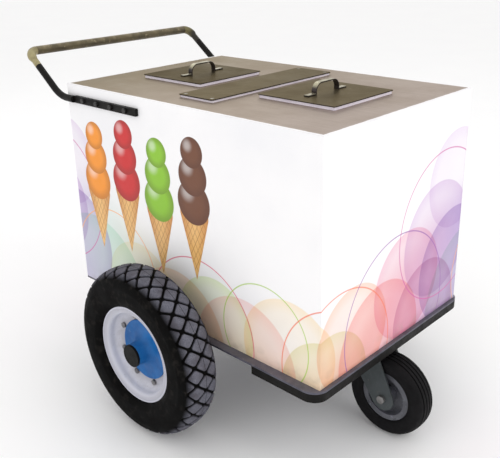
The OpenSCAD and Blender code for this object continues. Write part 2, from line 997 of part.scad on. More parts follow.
module rim_bolts() {
    color("silver")
        at_wheel()
            at_rim_bolts() {
                translate([0, 0, rim_t]) cylinder(d = rim_bolt_head_d, h = rim_bolt_head_h, $fn = 6);
                translate([0, 0, -rim_t - rim_bolt_head_h])
                    cylinder(d = rim_bolt_head_d, h = rim_bolt_head_h, $fn = 6);
                translate([0, 0, -rim_t - 2 * rim_bolt_head_h])
                    cylinder(d = rim_bolt_d, h = 2 * rim_t + 2 * rim_bolt_head_h);
            }
}

// The hub barrel with its flange disc, bored for a bearing near each end
module hub() {
    bore = bearing_od + 2 * run_gap;
    color("dodgerblue")
        at_wheel()
            difference() {
                union() {
                    translate([0, 0, hub_in]) cylinder(d = hub_d, h = hub_out - hub_in);
                    translate([0, 0, rim_t]) cylinder(r = hub_disc_r, h = hub_disc_t);
                }
                translate([0, 0, bearing_out - bearing_w])
                    cylinder(d = bore, h = hub_out - bearing_out + bearing_w + overrun);
                translate([0, 0, hub_in - overrun])
                    cylinder(d = bore, h = bearing_recess + bearing_w + overrun);
                translate([0, 0, hub_in])
                    cylinder(d = bearing_od - 2 * bearing_lip, h = hub_out - hub_in);
            }
}

module bearings() {
    color("silver")
        at_wheel()
            for (z = [bearing_in, bearing_out - bearing_w]) ring(bearing_od, axle_bore, z, bearing_w);
}

module hub_cap() {
    color("black")
        at_wheel() {
            translate([0, 0, hub_out]) cylinder(d = hub_d, h = cap_t);
            ring(bearing_od, bearing_od - 2 * cap_wall, hub_out - cap_spigot, cap_spigot);
        }
}

module tyre_right() { tyre(); }
module inner_tube_right() { inner_tube(); }
module rim_right() { rim(); }
module rim_bolts_right() { rim_bolts(); }
module hub_right() { hub(); }
module bearings_right() { bearings(); }
module hub_cap_right() { hub_cap(); }
module tyre_left() { on_left() tyre(); }
module inner_tube_left() { on_left() inner_tube(); }
module rim_left() { on_left() rim(); }
module rim_bolts_left() { on_left() rim_bolts(); }
module hub_left() { on_left() hub(); }
module bearings_left() { on_left() bearings(); }
module hub_cap_left() { on_left() hub_cap(); }

// Caster
module at_pivot() {
    translate([pivot_x, 0, 0]) children();
}

module at_caster_wheel() {
    translate([caster_x, 0, caster_r]) rotate([90, 0, 0]) children();
}

// Places of the bolts that hold the caster, on the underside of the floor plate
module at_caster_bolts() {
    for (sx = [-1, 1])
        for (sy = [-1, 1])
            translate([
                pivot_x + sx * (caster_plate_l / 2 - caster_bolt_inset),
                sy * (caster_plate_w / 2 - caster_bolt_inset),
                floor_under
            ]) children();
}

module caster_plate() {
    color("silver")
        difference() {
            at_pivot()
                translate([0, 0, caster_plate_z])
                    rounded_plate(caster_plate_l, caster_plate_w, caster_plate_t, caster_bolt_d);
            at_pivot()
                translate([0, 0, caster_plate_z - overrun])
                    cylinder(d = kingpin_d + 2 * run_gap, h = caster_plate_t + 2 * overrun);
            at_pivot()
                translate([0, 0, floor_under - pin_head_h])
                    cylinder(d = pin_head_d + 2 * bolt_gap, h = pin_head_h + overrun);
            at_caster_bolts()
                translate([0, 0, -caster_plate_t - overrun])
                    cylinder(d = caster_bolt_d + 2 * bolt_gap, h = caster_plate_t + 2 * overrun);
        }
}

module caster_bolts() {
    color("gray")
        at_caster_bolts() {
            translate([0, 0, -caster_plate_t - caster_bolt_head_h])
                cylinder(d = caster_bolt_head_d, h = caster_bolt_head_h, $fn = 6);
            translate([0, 0, -caster_plate_t])
                cylinder(d = caster_bolt_d, h = caster_plate_t + floor_plate_t);
        }
}

// The bearing between the top plate and the crown, with a groove around its middle
module swivel_race() {
    color("silver")
        at_pivot()
            difference() {
                ring(race_d, kingpin_d + 2 * run_gap, crown_top + seat_gap, swivel_h - seat_gap);
                ring(
                    race_d + 2 * overrun, race_d - 2 * race_groove,
                    crown_top + (swivel_h - race_groove) / 2, race_groove
                );
            }
}

module kingpin() {
    pin_low = crown_z - seat_gap - pin_nut_h;
    color("silver")
        at_pivot() {
            translate([0, 0, pin_low]) cylinder(d = kingpin_d, h = floor_under - pin_low);
            translate([0, 0, floor_under - pin_head_h]) cylinder(d = pin_head_d, h = pin_head_h);
            translate([0, 0, pin_low]) cylinder(d = pin_nut_d, h = pin_nut_h, $fn = 6);
        }
}

// One leg of the fork, from the crown forward and down to the eye of the axle
module fork_leg() {
    drop = [caster_trail, caster_r - crown_top];
    across = [-drop[1], drop[0]] / norm(drop) * fork_eye_r;
    axle_at = [caster_trail, caster_r];
    translate([0, fork_out, 0])
        rotate([90, 0, 0])
            linear_extrude(fork_t)
                difference() {
                    union() {
                        polygon([
                            [-fork_top_back, crown_top],
                            axle_at - across,
                            axle_at + across,
                            [fork_top_ahead, crown_top]
                        ]);
                        translate(axle_at) circle(fork_eye_r);
                    }
                    translate(axle_at) circle(d = caster_axle_d + 2 * run_gap);
                }
}

module caster_fork() {
    color("gray")
        at_pivot() {
            difference() {
                block([-fork_top_back, -fork_in, crown_z], [fork_top_ahead, fork_in, crown_top]);
                translate([0, 0, crown_z - overrun])
                    cylinder(d = kingpin_d + 2 * run_gap, h = crown_t + 2 * overrun);
            }
            fork_leg();
            on_left() fork_leg();
        }
}

module caster_axle() {
    color("silver")
        at_caster_wheel() {
            translate([0, 0, -fork_out - caster_nut_h])
                cylinder(d = caster_axle_d, h = 2 * (fork_out + caster_nut_h));
            for (s = [0, 1])
                mirror([0, 0, s])
                    translate([0, 0, fork_out]) cylinder(d = caster_nut_d, h = caster_nut_h, $fn = 6);
        }
}

// The pressed rim of the caster's wheel with its disc and hub tube
module caster_wheel() {
    tube_d = caster_bearing_od + 2 * caster_hub_wall;
    barrel_d = 2 * caster_barrel_r;
    color("darkgray")
        at_caster_wheel()
            difference() {
                union() {
                    translate([0, 0, -caster_hub_half]) cylinder(d = tube_d, h = 2 * caster_hub_half);
                    translate([0, 0, -caster_sheet]) cylinder(d = barrel_d, h = 2 * caster_sheet);
                    ring(barrel_d, barrel_d - 2 * caster_sheet, -caster_rim_half, 2 * caster_rim_half);
                    for (z = [-caster_rim_half, caster_rim_half - caster_sheet])
                        ring(caster_rim_d, barrel_d - caster_sheet, z, caster_sheet);
                }
                translate([0, 0, -caster_hub_half - overrun])
                    cylinder(d = caster_bearing_od + 2 * run_gap, h = 2 * (caster_hub_half + overrun));
            }
}

module caster_bearings() {
    color("silver")
        at_caster_wheel()
            for (z = [-caster_hub_half, caster_hub_half - caster_bearing_w])
                ring(caster_bearing_od, caster_axle_d + 2 * run_gap, z, caster_bearing_w);
}

function caster_outline() =
    let (
        foot = caster_rim_d / 2 + seat_gap,
        base = caster_barrel_r + seat_gap,
        inner = caster_rim_half - caster_sheet - seat_gap,
        belly = foot + (caster_r - foot) * caster_belly_share,
        half = caster_w / 2
    )
    concat(
        [[base, -inner], [base, inner], [foot, inner]],
        [for (a = [90 : -15 : 15]) under_belly(a, belly, foot, half, caster_rim_half, 1)],
        [for (a = [0 : 10 : 180]) over_crown(a, belly, caster_r, half, caster_squareness)],
        [for (a = [15 : 15 : 90]) under_belly(a, belly, foot, half, caster_rim_half, -1)],
        [[foot, -inner]]
    );

// The caster's tyre with grooves around its tread
module caster_tyre() {
    color("black")
        at_caster_wheel()
            difference() {
                rotate_extrude() polygon(caster_outline());
                for (share = groove_shares)
                    ring(
                        caster_d + 2 * overrun, caster_d - 2 * groove_deep,
                        share * caster_w / 2 - groove_w / 2, groove_w
                    );
            }
}

panel_left();
panel_right();
panel_front();
panel_rear();
wall_insulation();
roof_insulation();
inner_liner();
cold_plate();
top_deck();
hatch_throats();
centre_cover();
centre_gasket();
centre_plug();
centre_screws();
lid_plate_front();
lid_gasket_front();
lid_plug_front();
lid_handle_front();
lid_plate_rear();
lid_gasket_rear();
lid_plug_rear();
lid_handle_rear();
handle_bar_left();
handle_bar_right();
handle_arm_left();
handle_arm_right();
handle_elbows();
handle_crossbar();
handle_bolts();
floor_plate();
bumper_bar();
cross_tubes();
axle_beam();
axle_saddles();
axle();
axle_spacers();
axle_nuts();
tyre_left();
inner_tube_left();
rim_left();
rim_bolts_left();
hub_left();
bearings_left();
hub_cap_left();
tyre_right();
inner_tube_right();
rim_right();
rim_bolts_right();
hub_right();
bearings_right();
hub_cap_right();
caster_plate();
caster_bolts();
swivel_race();
kingpin();
caster_fork();
caster_axle();
caster_wheel();
caster_bearings();
caster_tyre();
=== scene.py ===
import bisect
import math

import bpy
from mathutils import Matrix, Vector


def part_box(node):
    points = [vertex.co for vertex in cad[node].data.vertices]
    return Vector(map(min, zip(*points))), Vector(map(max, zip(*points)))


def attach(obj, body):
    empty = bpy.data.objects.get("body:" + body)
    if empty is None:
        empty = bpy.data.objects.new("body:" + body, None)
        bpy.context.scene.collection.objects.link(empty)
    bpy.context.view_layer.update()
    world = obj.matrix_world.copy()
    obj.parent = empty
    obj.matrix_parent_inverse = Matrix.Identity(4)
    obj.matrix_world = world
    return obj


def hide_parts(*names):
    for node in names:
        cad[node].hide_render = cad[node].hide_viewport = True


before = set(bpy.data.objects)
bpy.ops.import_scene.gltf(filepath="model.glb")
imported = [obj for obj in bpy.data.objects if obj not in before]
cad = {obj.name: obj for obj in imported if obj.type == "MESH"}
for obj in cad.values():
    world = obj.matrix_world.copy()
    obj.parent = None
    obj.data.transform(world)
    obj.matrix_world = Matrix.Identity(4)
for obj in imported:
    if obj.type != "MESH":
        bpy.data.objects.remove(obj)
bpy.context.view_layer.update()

# Camera, as solved from the photograph, in metres, degrees and pixels
IMAGE_W, IMAGE_H = 500, 458
CAMERA_AT = (1.1856, -1.2455, 1.0957)
CAMERA_YAW, CAMERA_PITCH, CAMERA_ROLL = 134.59, -20.45, -1.5
FOCAL_PX = 724.3
MIDDLE_PX = (240, 205)
SENSOR = 36

# Studio lights, each a name, a place, a target, a size in metres and a power in watts
LIGHTS = (
    ("front_key", (3.2, 0.4, 2.8), (0.2, 0, 0.4), 2.2, 22),
    ("side_fill", (0.6, -3.6, 2.4), (0, 0, 0.4), 2.6, 12),
    ("rear_rim", (-2.6, 1.6, 3.0), (0, 0, 0.6), 2.0, 8),
)
SKY_TINT, SKY_STRENGTH = (1.0, 0.995, 0.99, 1), 0.95
FLOOR_HALF = 40

# Places of the cabinet, in metres
REAR_X, PANEL_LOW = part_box("panel_right")[0][0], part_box("panel_right")[0][2]
SIDE_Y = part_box("panel_left")[1][1]
FRONT_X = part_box("panel_right")[1][0]
BODY_L, BODY_W = FRONT_X - REAR_X, 2 * SIDE_Y

# Where the left elbow's dark paint begins and is full, towards its arm
SOOT_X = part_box("handle_elbows")[0][0] + 0.022
SOOT_FULL_X = SOOT_X + 0.016

# Half the way over which the right elbow's tone turns into the left one's
ELBOW_FADE_HALF = 0.05

# Places of the main wheels
AXLE_Z = (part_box("tyre_right")[0][2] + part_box("tyre_right")[1][2]) / 2
TYRE_R = (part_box("tyre_right")[1][2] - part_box("tyre_right")[0][2]) / 2
TYRE_HALF = (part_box("tyre_right")[1][1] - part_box("tyre_right")[0][1]) / 2
WHEEL_Y = -(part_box("tyre_right")[0][1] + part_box("tyre_right")[1][1]) / 2

# Sizes of the main wheels that the boxes of their nodes don't give, in metres
BELLY_R = 0.150
SQUARENESS = 2.8
CROWN_INNER_R = 0.1895
CASING_T = 0.008
FOOT_R, FOOT_HALF = 0.118, 0.0365
BEAD_R, BEAD_HALF = 0.1018, 0.0347
TOE_R, TOE_HALF = 0.1088, 0.0197
TOE_BASE_HALF = 0.0232
RIM_T, RIM_HALF, FLANGE_R = 0.003, 0.038, 0.1155
WELL_R, SEAT_R, SEAT_IN = 0.0935, 0.1015, 0.018
HUB_R, HUB_OUT, HUB_IN = 0.027, 0.040, -0.045
HUB_DISC_R, HUB_DISC_LOW, HUB_DISC_HIGH = 0.073, 0.003, 0.007
HUB_BORE_R = 0.02705
BEARING_BORE_R, BEARING_STOP_R = 0.02355, 0.020
BEARING_STOP_LOW, BEARING_STOP_HIGH = -0.028, 0.008

# Fillets of the pressed rim and of the hub, and half the hairline between the halves of the rim
BORE_EDGE_R, DISH_R, CONE_R, FLARE_R = 0.0006, 0.012, 0.016, 0.013
LIP_R, UNDER_FLARE_R, UNDER_CONE_R, WELL_EDGE_R = 0.0013, 0.0045, 0.013, 0.0015
HUB_EDGE_R, HUB_FILLET_R = 0.0006, 0.022
HUB_DISC_EDGE_R, HUB_DISC_BACK_R = 0.0014, 0.0004
SPLIT_HALF = 0.0001

# Columns around the rim and around the hub
RIM_COLUMNS, HUB_COLUMNS = 144, 128

# Fine lines that the mould leaves on the tyre: two on each side, and a seam around the middle
MOULD_LINES = (0.134, 0.168)
MOULD_LINE_RISE, MOULD_LINE_REACH = 0.0009, 0.004
SEAM_HALF, SEAM_EDGE = 0.0004, 0.0011

# Tread of diamond blocks: shares of one block's pitch, and metres
BLOCKS_AROUND = 30
TREAD_HALF = 0.0495
TREAD_DEPTH = 0.0052
GROOVE_SHARE = 0.09
BLOCK_CORNER_SHARE = 0.13
BLOCK_LINES = (
    0, 0.04, 0.067, 0.098, 0.125, 0.165, 0.215, 0.33, 0.5, 0.67, 0.785, 0.835, 0.875, 0.902, 0.933, 0.96,
)
ROWS_ACROSS = 4

# A block's walls and rounded crest, in shares of its pitch and of its height
WALL_START_SHARE, WALL_RUN_SHARE = 0.022, 0.03
CREST_START_SHARE, CREST_RUN_SHARE, CREST_DROP_SHARE = 0.05, 0.045, 0.12

# Where the grooves run out and the dust fades, in shares of the tread's half width
RUNOUT_START_SHARE, RUNOUT_SHARE = 0.92, 0.08
FADE_START_SHARE, FADE_SHARE = 0.62, 0.36


# Materials

def linear(r, g, b):
    """A colour given as seen on a screen, from 0 to 255, as the renderer's own values."""
    return tuple(((c / 255 + 0.055) / 1.055) ** 2.4 if c > 10 else c / 3294 for c in (r, g, b)) + (1,)


class Paint:
    """Builds the nodes of one material. Its methods take sockets or plain values and return sockets."""

    def __init__(self, name, **fixed):
        self.material = bpy.data.materials.new(name)
        self.material.use_nodes = True
        self.tree = self.material.node_tree
        self.shader = self.tree.nodes["Principled BSDF"]
        self.place = self.tree.nodes.new("ShaderNodeTexCoord").outputs["Object"]
        for key, value in fixed.items():
            self.shader.inputs[key.replace("_", " ")].default_value = value

    def node(self, kind, inputs, **settings):
        made = self.tree.nodes.new(kind)
        for key, value in settings.items():
            setattr(made, key, value)
        for key, value in inputs.items():
            if isinstance(value, bpy.types.NodeSocket):
                self.tree.links.new(value, made.inputs[key])
            else:
                made.inputs[key].default_value = value
        return made

    def math(self, operation, a, b=0.0):
        return self.node("ShaderNodeMath", {0: a, 1: b}, operation=operation).outputs[0]

    def xyz(self, vector=None):
        return self.node("ShaderNodeSeparateXYZ", {0: vector or self.place}).outputs

    def joined(self, x, y, z=0.0):
        return self.node("ShaderNodeCombineXYZ", {0: x, 1: y, 2: z}).outputs[0]

    def stretched(self, scale):
        return self.node("ShaderNodeMapping", {"Vector": self.place, "Scale": scale}).outputs[0]

    def noise(self, scale, detail=3.0, rough=0.5, stretch=None):
        vector = self.stretched(stretch) if stretch else self.place
        inputs = {"Vector": vector, "Scale": scale, "Detail": detail, "Roughness": rough}
        return self.node("ShaderNodeTexNoise", inputs).outputs["Fac"]

    def specks(self, scale):
        inputs = {"Vector": self.place, "Scale": scale}
        return self.node("ShaderNodeTexVoronoi", inputs).outputs["Distance"]

    def span(self, value, low, high, out_low=0.0, out_high=1.0, smooth=True):
        kind = "SMOOTHSTEP" if smooth else "LINEAR"
        inputs = {0: value, 1: low, 2: high, 3: out_low, 4: out_high}
        return self.node("ShaderNodeMapRange", inputs, interpolation_type=kind, clamp=True).outputs[0]

    def mix(self, factor, a, b, blend="MIX"):
        made = self.node("ShaderNodeMix", {0: factor}, data_type="RGBA", blend_type=blend)
        for socket, value in ((made.inputs[6], a), (made.inputs[7], b)):
            if isinstance(value, bpy.types.NodeSocket):
                self.tree.links.new(value, socket)
            else:
                socket.default_value = value
        return made.outputs[2]

    def ramp(self, value, stops, constant=False):
        made = self.node("ShaderNodeValToRGB", {0: value})
        made.color_ramp.interpolation = "CONSTANT" if constant else "LINEAR"
        elements = made.color_ramp.elements
        while len(elements) < len(stops):
            elements.new(0.5)
        for element, (position, colour) in zip(elements, stops):
            element.position = position
            element.color = colour if isinstance(colour, tuple) else (colour, colour, colour, 1)
        return made.outputs[0]

    def up(self):
        """How far a face looks upwards, from 0 to 1."""
        normal = self.tree.nodes.new("ShaderNodeNewGeometry").outputs["Normal"]
        return self.math("MAXIMUM", self.xyz(normal)[2], 0.0)

    def finish(self, colour, rough, bump=None, bump_depth=0.0):
        self.tree.links.new(colour, self.shader.inputs["Base Color"])
        self.tree.links.new(rough, self.shader.inputs["Roughness"])
        if bump is not None:
            inputs = {"Height": bump, "Distance": bump_depth, "Strength": 1.0}
            normal = self.node("ShaderNodeBump", inputs).outputs[0]
            self.tree.links.new(normal, self.shader.inputs["Normal"])
        return self.material


# The printed wrap: a pale wash along the foot of the panels, soft discs, thin rings, and a row of cones.
# The wash takes its tones from shares of the way around the panels.
# Each disc and ring is a place along the panels, a height, a radius and a colour.
# A disc's strength is given at shares of its radius.
WRAP_TURN = BODY_L + BODY_W
WASH_MIDDLE, WASH_SWING, WASH_PEAK = 0.44, 0.13, BODY_W
WASH_START, WASH_FULL, WASH_STRENGTH = -0.01, 0.14, 0.7
WASH_TONES = [
    (0.0, (212, 204, 230)), (0.09, (218, 236, 228)), (0.25, (248, 240, 214)), (0.42, (252, 224, 200)),
    (0.58, (253, 214, 172)), (0.66, (250, 192, 176)), (0.78, (242, 172, 186)), (0.90, (218, 166, 208)),
    (1.0, (194, 170, 222)),
]
DISCS = [
    (-0.74, 0.23, 0.20, (196, 236, 214)), (-0.56, 0.27, 0.13, (250, 238, 200)),
    (-0.43, 0.21, 0.16, (252, 214, 176)), (-0.30, 0.27, 0.12, (216, 236, 160)),
    (-0.21, 0.22, 0.15, (250, 196, 190)), (-0.08, 0.28, 0.13, (255, 226, 170)),
    (0.03, 0.22, 0.13, (226, 222, 150)), (0.11, 0.31, 0.12, (250, 190, 150)),
    (0.21, 0.25, 0.15, (246, 150, 150)), (0.31, 0.36, 0.13, (240, 160, 190)),
    (0.39, 0.26, 0.13, (206, 130, 186)), (0.43, 0.43, 0.14, (212, 176, 222)),
    (0.51, 0.34, 0.15, (170, 130, 206)), (0.50, 0.56, 0.12, (228, 206, 236)),
]
DISC_STRENGTHS = [(0, 0.15), (0.75, 0.30), (0.985, 0.55), (1, 0.0)]
RINGS = [
    (-0.66, 0.30, 0.16, (250, 170, 90)), (-0.35, 0.25, 0.17, (222, 70, 110)),
    (-0.15, 0.30, 0.12, (170, 205, 70)), (0.07, 0.26, 0.17, (240, 110, 70)),
    (0.27, 0.30, 0.19, (150, 80, 170)), (0.45, 0.46, 0.18, (206, 80, 160)),
]
RING_HALF = 0.0019
CONE_START, CONE_PITCH, CONE_COUNT = -0.765, 0.118, 4
CONE_TIP, CONE_TOP, CONE_HALF = 0.345, 0.500, 0.046
SCOOPS = ((0.532, 0.052), (0.592, 0.045), (0.645, 0.035))
GLINT_ASIDE_SHARE, GLINT_UP_SHARE = 0.35, 0.4
SCOOP_COLOURS = ((245, 150, 30), (205, 30, 32), (140, 196, 40), (112, 66, 40))
CONE_RISE = 0.022
CONE_BLUR, CONE_OVERLAP = 0.0012, 0.012
WAFFLE_LEAN, WAFFLE_WAVES = 0.55, 210
FOOT_DUST_H = 0.05
# Width and blur of the painted highlight along the deck's rounded rim, in metres
RIM_GLINT_W, RIM_GLINT_BLUR = 0.006, 0.0006

# Radii at which grime begins, is thickest and ends in the rim's dish
GRIME_IN_R, GRIME_R, GRIME_OUT_R = 0.078, 0.092, 0.102

# Painted light and shade on the rim's enamel, as tones at radii from the disc over the cone to the lip: a
# lighter cone, a darker flare and a highlight on the lip
RIM_LIGHT_AND_SHADE_TONES = [
    (0.080, (178, 177, 186)), (0.088, (198, 198, 207)), (0.094, (232, 231, 239)), (0.0995, (224, 224, 233)),
    (0.105, (184, 184, 195)), (0.112, (174, 174, 186)), (0.1145, (208, 209, 222)), (0.117, (202, 203, 216)),
]

# Depths of the fine relief of each kind of surface, in metres
FILM_DEPTH, GRAIN_DEPTH, PAINT_DEPTH, PLATING_DEPTH = 0.0012, 0.00004, 0.00015, 0.00003
SKIN_DEPTH, ELBOW_DEPTH, RUBBER_DEPTH, ENAMEL_DEPTH = 0.00008, 0.0001, 0.0002, 0.0001

# Tints of the reflections that graze the deck and the lids
DECK_GRAZE = (0.88, 0.83, 0.76, 1)
LID_GRAZE = (0.54, 0.50, 0.42, 1)


def wrapped(spots):
    """The spots, with a second copy of each one that crosses the end of the wrap."""
    copies = []
    for along, z, r, colour in spots:
        copies.append((along, z, r, colour))
        if along + r > BODY_W:
            copies.append((along - WRAP_TURN, z, r, colour))
        if along - r < -BODY_L:
            copies.append((along + WRAP_TURN, z, r, colour))
    return copies


def distance(paint, point, along, z):
    inputs = {0: point, 1: (along, z, 0)}
    return paint.node("ShaderNodeVectorMath", inputs, operation="DISTANCE").outputs["Value"]


def distance_share(paint, point, along, z, r):
    """Distance from a spot's middle as a share of its radius."""
    return paint.math("DIVIDE", distance(paint, point, along, z), r)


def print_wash(paint, colour, along, z):
    """A soft wash whose upper edge swings once around the cabinet."""
    turn = paint.math("MULTIPLY", paint.math("SUBTRACT", along, WASH_PEAK), 2 * math.pi / WRAP_TURN)
    edge = paint.math("ADD", paint.math("MULTIPLY", paint.math("COSINE", turn), WASH_SWING), WASH_MIDDLE)
    below = paint.math("SUBTRACT", edge, z)
    strength = paint.span(below, WASH_START, WASH_FULL, 0, WASH_STRENGTH)
    share = paint.span(along, -BODY_L, BODY_W, smooth=False)
    tone = paint.ramp(share, [(at, linear(*c)) for at, c in WASH_TONES])
    return paint.mix(strength, colour, tone, "MULTIPLY")


def print_discs(paint, colour, point):
    for along, z, r, tone in wrapped(DISCS):
        away = distance_share(paint, point, along, z, r)
        strength = paint.ramp(away, DISC_STRENGTHS)
        colour = paint.mix(strength, colour, linear(*tone), "MULTIPLY")
    for along, z, r, tone in wrapped(RINGS):
        off = paint.math("ABSOLUTE", paint.math("SUBTRACT", distance(paint, point, along, z), r))
        colour = paint.mix(paint.span(off, RING_HALF / 2, RING_HALF, 0.75, 0), colour, linear(*tone))
    return colour


def cone_frame(paint, along, z):
    """The cone's number in its row, and a point's place about that cone's axis and above its tip."""
    steps = paint.math("DIVIDE", paint.math("SUBTRACT", along, CONE_START), CONE_PITCH)
    number = paint.math("FLOOR", steps)
    part = paint.math("SUBTRACT", paint.math("SUBTRACT", steps, number), 0.5)
    across = paint.math("MULTIPLY", part, CONE_PITCH)
    odd = paint.math("MODULO", number, 2)
    height = paint.math("SUBTRACT", z, paint.math("MULTIPLY", odd, CONE_RISE))
    started = paint.math("GREATER_THAN", steps, 0)
    inside = paint.math("MULTIPLY", started, paint.math("LESS_THAN", steps, CONE_COUNT))
    return number, across, height, inside


def waffle(paint, across, height):
    """Colour of a cone's biscuit, with crossed lines."""
    lines = None
    for lean in (WAFFLE_LEAN, -WAFFLE_LEAN):
        slant = paint.math("ADD", across, paint.math("MULTIPLY", height, lean))
        wave = paint.math("ABSOLUTE", paint.math("SINE", paint.math("MULTIPLY", slant, WAFFLE_WAVES)))
        line = paint.span(wave, 0.0, 0.35, 1, 0)
        lines = line if lines is None else paint.math("MAXIMUM", lines, line)
    shade = paint.span(paint.math("ABSOLUTE", across), 0.0, CONE_HALF)
    body = paint.mix(shade, linear(238, 190, 120), linear(206, 142, 74))
    return paint.mix(paint.math("MULTIPLY", lines, 0.7), body, linear(166, 102, 48))


def print_cones(paint, colour, along, z):
    number, across, height, inside = cone_frame(paint, along, z)
    rise = paint.span(height, CONE_TIP, CONE_TOP, 0, CONE_HALF, smooth=False)
    room = paint.math("SUBTRACT", rise, paint.math("ABSOLUTE", across))
    below = paint.math("LESS_THAN", height, CONE_TOP + CONE_OVERLAP)
    mask = paint.math("MULTIPLY", paint.math("MULTIPLY", paint.span(room, 0, CONE_BLUR), below), inside)
    colour = paint.mix(mask, colour, waffle(paint, across, height))
    share = paint.math("DIVIDE", paint.math("ADD", number, 0.5), CONE_COUNT)
    stops = [(i / CONE_COUNT, linear(*c)) for i, c in enumerate(SCOOP_COLOURS)]
    base = paint.ramp(share, stops, constant=True)
    pale = paint.mix(0.45, base, (1, 1, 1, 1))
    dark = paint.mix(0.35, base, linear(60, 20, 10))
    point = paint.joined(across, height)
    for scoop_z, r in SCOOPS:
        away = distance_share(paint, point, 0, scoop_z, r)
        glint_z = scoop_z + r * GLINT_UP_SHARE
        lit = distance_share(paint, point, -r * GLINT_ASIDE_SHARE, glint_z, r)
        tone = paint.mix(paint.span(away, 0.45, 1.0), base, dark)
        tone = paint.mix(paint.span(lit, 0.1, 0.55, 0.8, 0), tone, pale)
        mask = paint.math("MULTIPLY", paint.span(away, 0.97, 1.0, 1, 0), inside)
        colour = paint.mix(mask, colour, tone)
    return colour


def panel_wrap(name, along_of):
    """Gloss film over painted sheet, printed all round, with dust near the foot and faint scuffs."""
    paint = Paint(name, Specular_IOR_Level=0.4, Coat_Weight=0.15, Coat_Roughness=0.25)
    x, y, z = paint.xyz()
    along = along_of(paint, x, y)
    haze = paint.noise(3.0, 4.0)
    white = paint.mix(paint.span(haze, 0.35, 0.7), linear(250, 249, 250), linear(240, 240, 243))
    colour = print_wash(paint, white, along, z)
    colour = print_discs(paint, colour, paint.joined(along, z))
    colour = print_cones(paint, colour, along, z)
    low = paint.span(z, PANEL_LOW, PANEL_LOW + FOOT_DUST_H, 1, 0)
    layer_share = paint.math("MULTIPLY", low, paint.span(paint.noise(38, 6), 0.42, 0.75))
    colour = paint.mix(paint.math("MULTIPLY", layer_share, 0.35), colour, linear(150, 140, 125))
    scuff = paint.span(paint.noise(30, 5, 0.6, (1, 1, 9)), 0.66, 0.74)
    colour = paint.mix(paint.math("MULTIPLY", scuff, 0.12), colour, linear(170, 165, 165))
    rough = paint.span(paint.noise(55, 4), 0.3, 0.7, 0.28, 0.42)
    return paint.finish(colour, rough, paint.noise(9, 2), FILM_DEPTH)


def along_right(paint, x, y):
    return paint.math("SUBTRACT", x, FRONT_X)


def along_front(paint, x, y):
    return paint.math("ADD", y, SIDE_Y)


def along_left(paint, x, y):
    return paint.math("SUBTRACT", FRONT_X + BODY_W - WRAP_TURN, x)


def along_rear(paint, x, y):
    return paint.math("SUBTRACT", SIDE_Y, y)


def grained(paint, base, dark, stain, grain_axis):
    """Colour, grain and clouds of sheet metal with a brushed grain, old stains and fine scratches."""
    fine = [520.0, 520.0, 520.0]
    fine[grain_axis] = 7.0
    grain = paint.noise(1.0, 4, 0.6, tuple(fine))
    cloud = paint.noise(7.0, 6, 0.62)
    spots = paint.span(paint.noise(34, 5, 0.65), 0.56, 0.72)
    scratch = paint.span(paint.noise(1.0, 2, 0.5, (30, 900, 900)), 0.70, 0.76)
    colour = paint.mix(paint.span(grain, 0.3, 0.7), linear(*dark), linear(*base))
    colour = paint.mix(paint.span(cloud, 0.42, 0.72, 0, 0.55), colour, linear(*stain))
    colour = paint.mix(paint.math("MULTIPLY", spots, 0.25), colour, linear(*dark))
    colour = paint.mix(paint.math("MULTIPLY", scratch, 0.35), colour, linear(225, 220, 212))
    return colour, grain, cloud


def brushed(name, base, dark, stain, rough, grain_axis, edge=None, **fixed):
    """Brushed sheet metal, with painted shade in another tone on the edges of the sheet where one is given.
    """
    paint = Paint(name, Metallic=0.88, **fixed)
    colour, grain, cloud = grained(paint, base, dark, stain, grain_axis)
    if edge:
        # Painted shade: faces that look sideways take the darker edge tone.
        colour = paint.mix(paint.span(paint.up(), 0.35, 0.65), linear(*edge), colour)
    streaks = paint.span(grain, 0.3, 0.7, 0, 0.06)
    ruffle = paint.math("ADD", paint.span(cloud, 0.3, 0.7, rough - 0.06, rough + 0.1), streaks)
    return paint.finish(colour, ruffle, grain, GRAIN_DEPTH)


def lid_steel(name, base, dark, stain):
    """Brushed lids with painted shade on their edges, whose reflections stay dull."""
    return brushed(
        # The last colour is painted shade on the edges of the lids.
        name, base, dark, stain, 0.33, 1, (44, 38, 32),
        Specular_Tint=LID_GRAZE, Specular_IOR_Level=0.25,
    )


def deck_steel():
    """The brushed deck, with a painted highlight as a white band along its rounded rim, and painted shade
    towards the rear.
    """
    paint = Paint("deck_steel", Specular_Tint=DECK_GRAZE)
    colour, grain, cloud = grained(paint, (188, 175, 169), (172, 159, 152), (163, 149, 138), 0)
    x, y, _ = paint.xyz()
    # Painted highlight: a white band along the deck's rounded rim, where the steel gives way to white.
    to_side = paint.math("SUBTRACT", SIDE_Y, paint.math("ABSOLUTE", y))
    middle = (REAR_X + FRONT_X) / 2
    from_middle = paint.math("ABSOLUTE", paint.math("SUBTRACT", x, middle))
    to_end = paint.math("SUBTRACT", BODY_L / 2, from_middle)
    inward = paint.math("MINIMUM", to_side, to_end)
    inward = paint.math("ADD", inward, paint.span(paint.noise(60, 3), 0.3, 0.7, -RIM_GLINT_BLUR, RIM_GLINT_BLUR))
    metal = paint.span(inward, RIM_GLINT_W - RIM_GLINT_BLUR, RIM_GLINT_W + RIM_GLINT_BLUR)
    # Painted shade: the steel darkens towards the rear.
    shaded_rear = paint.span(x, REAR_X, FRONT_X, 0.95, 0, smooth=False)
    colour = paint.mix(shaded_rear, colour, linear(132, 120, 96))
    pale_layer = paint.mix(paint.span(cloud, 0.35, 0.7), linear(250, 249, 250), linear(238, 237, 240))
    colour = paint.mix(metal, pale_layer, colour)
    paint.tree.links.new(paint.math("MULTIPLY", metal, 0.85), paint.shader.inputs["Metallic"])
    rough = paint.span(cloud, 0.3, 0.7, 0.34, 0.48)
    return paint.finish(colour, rough, grain, GRAIN_DEPTH)


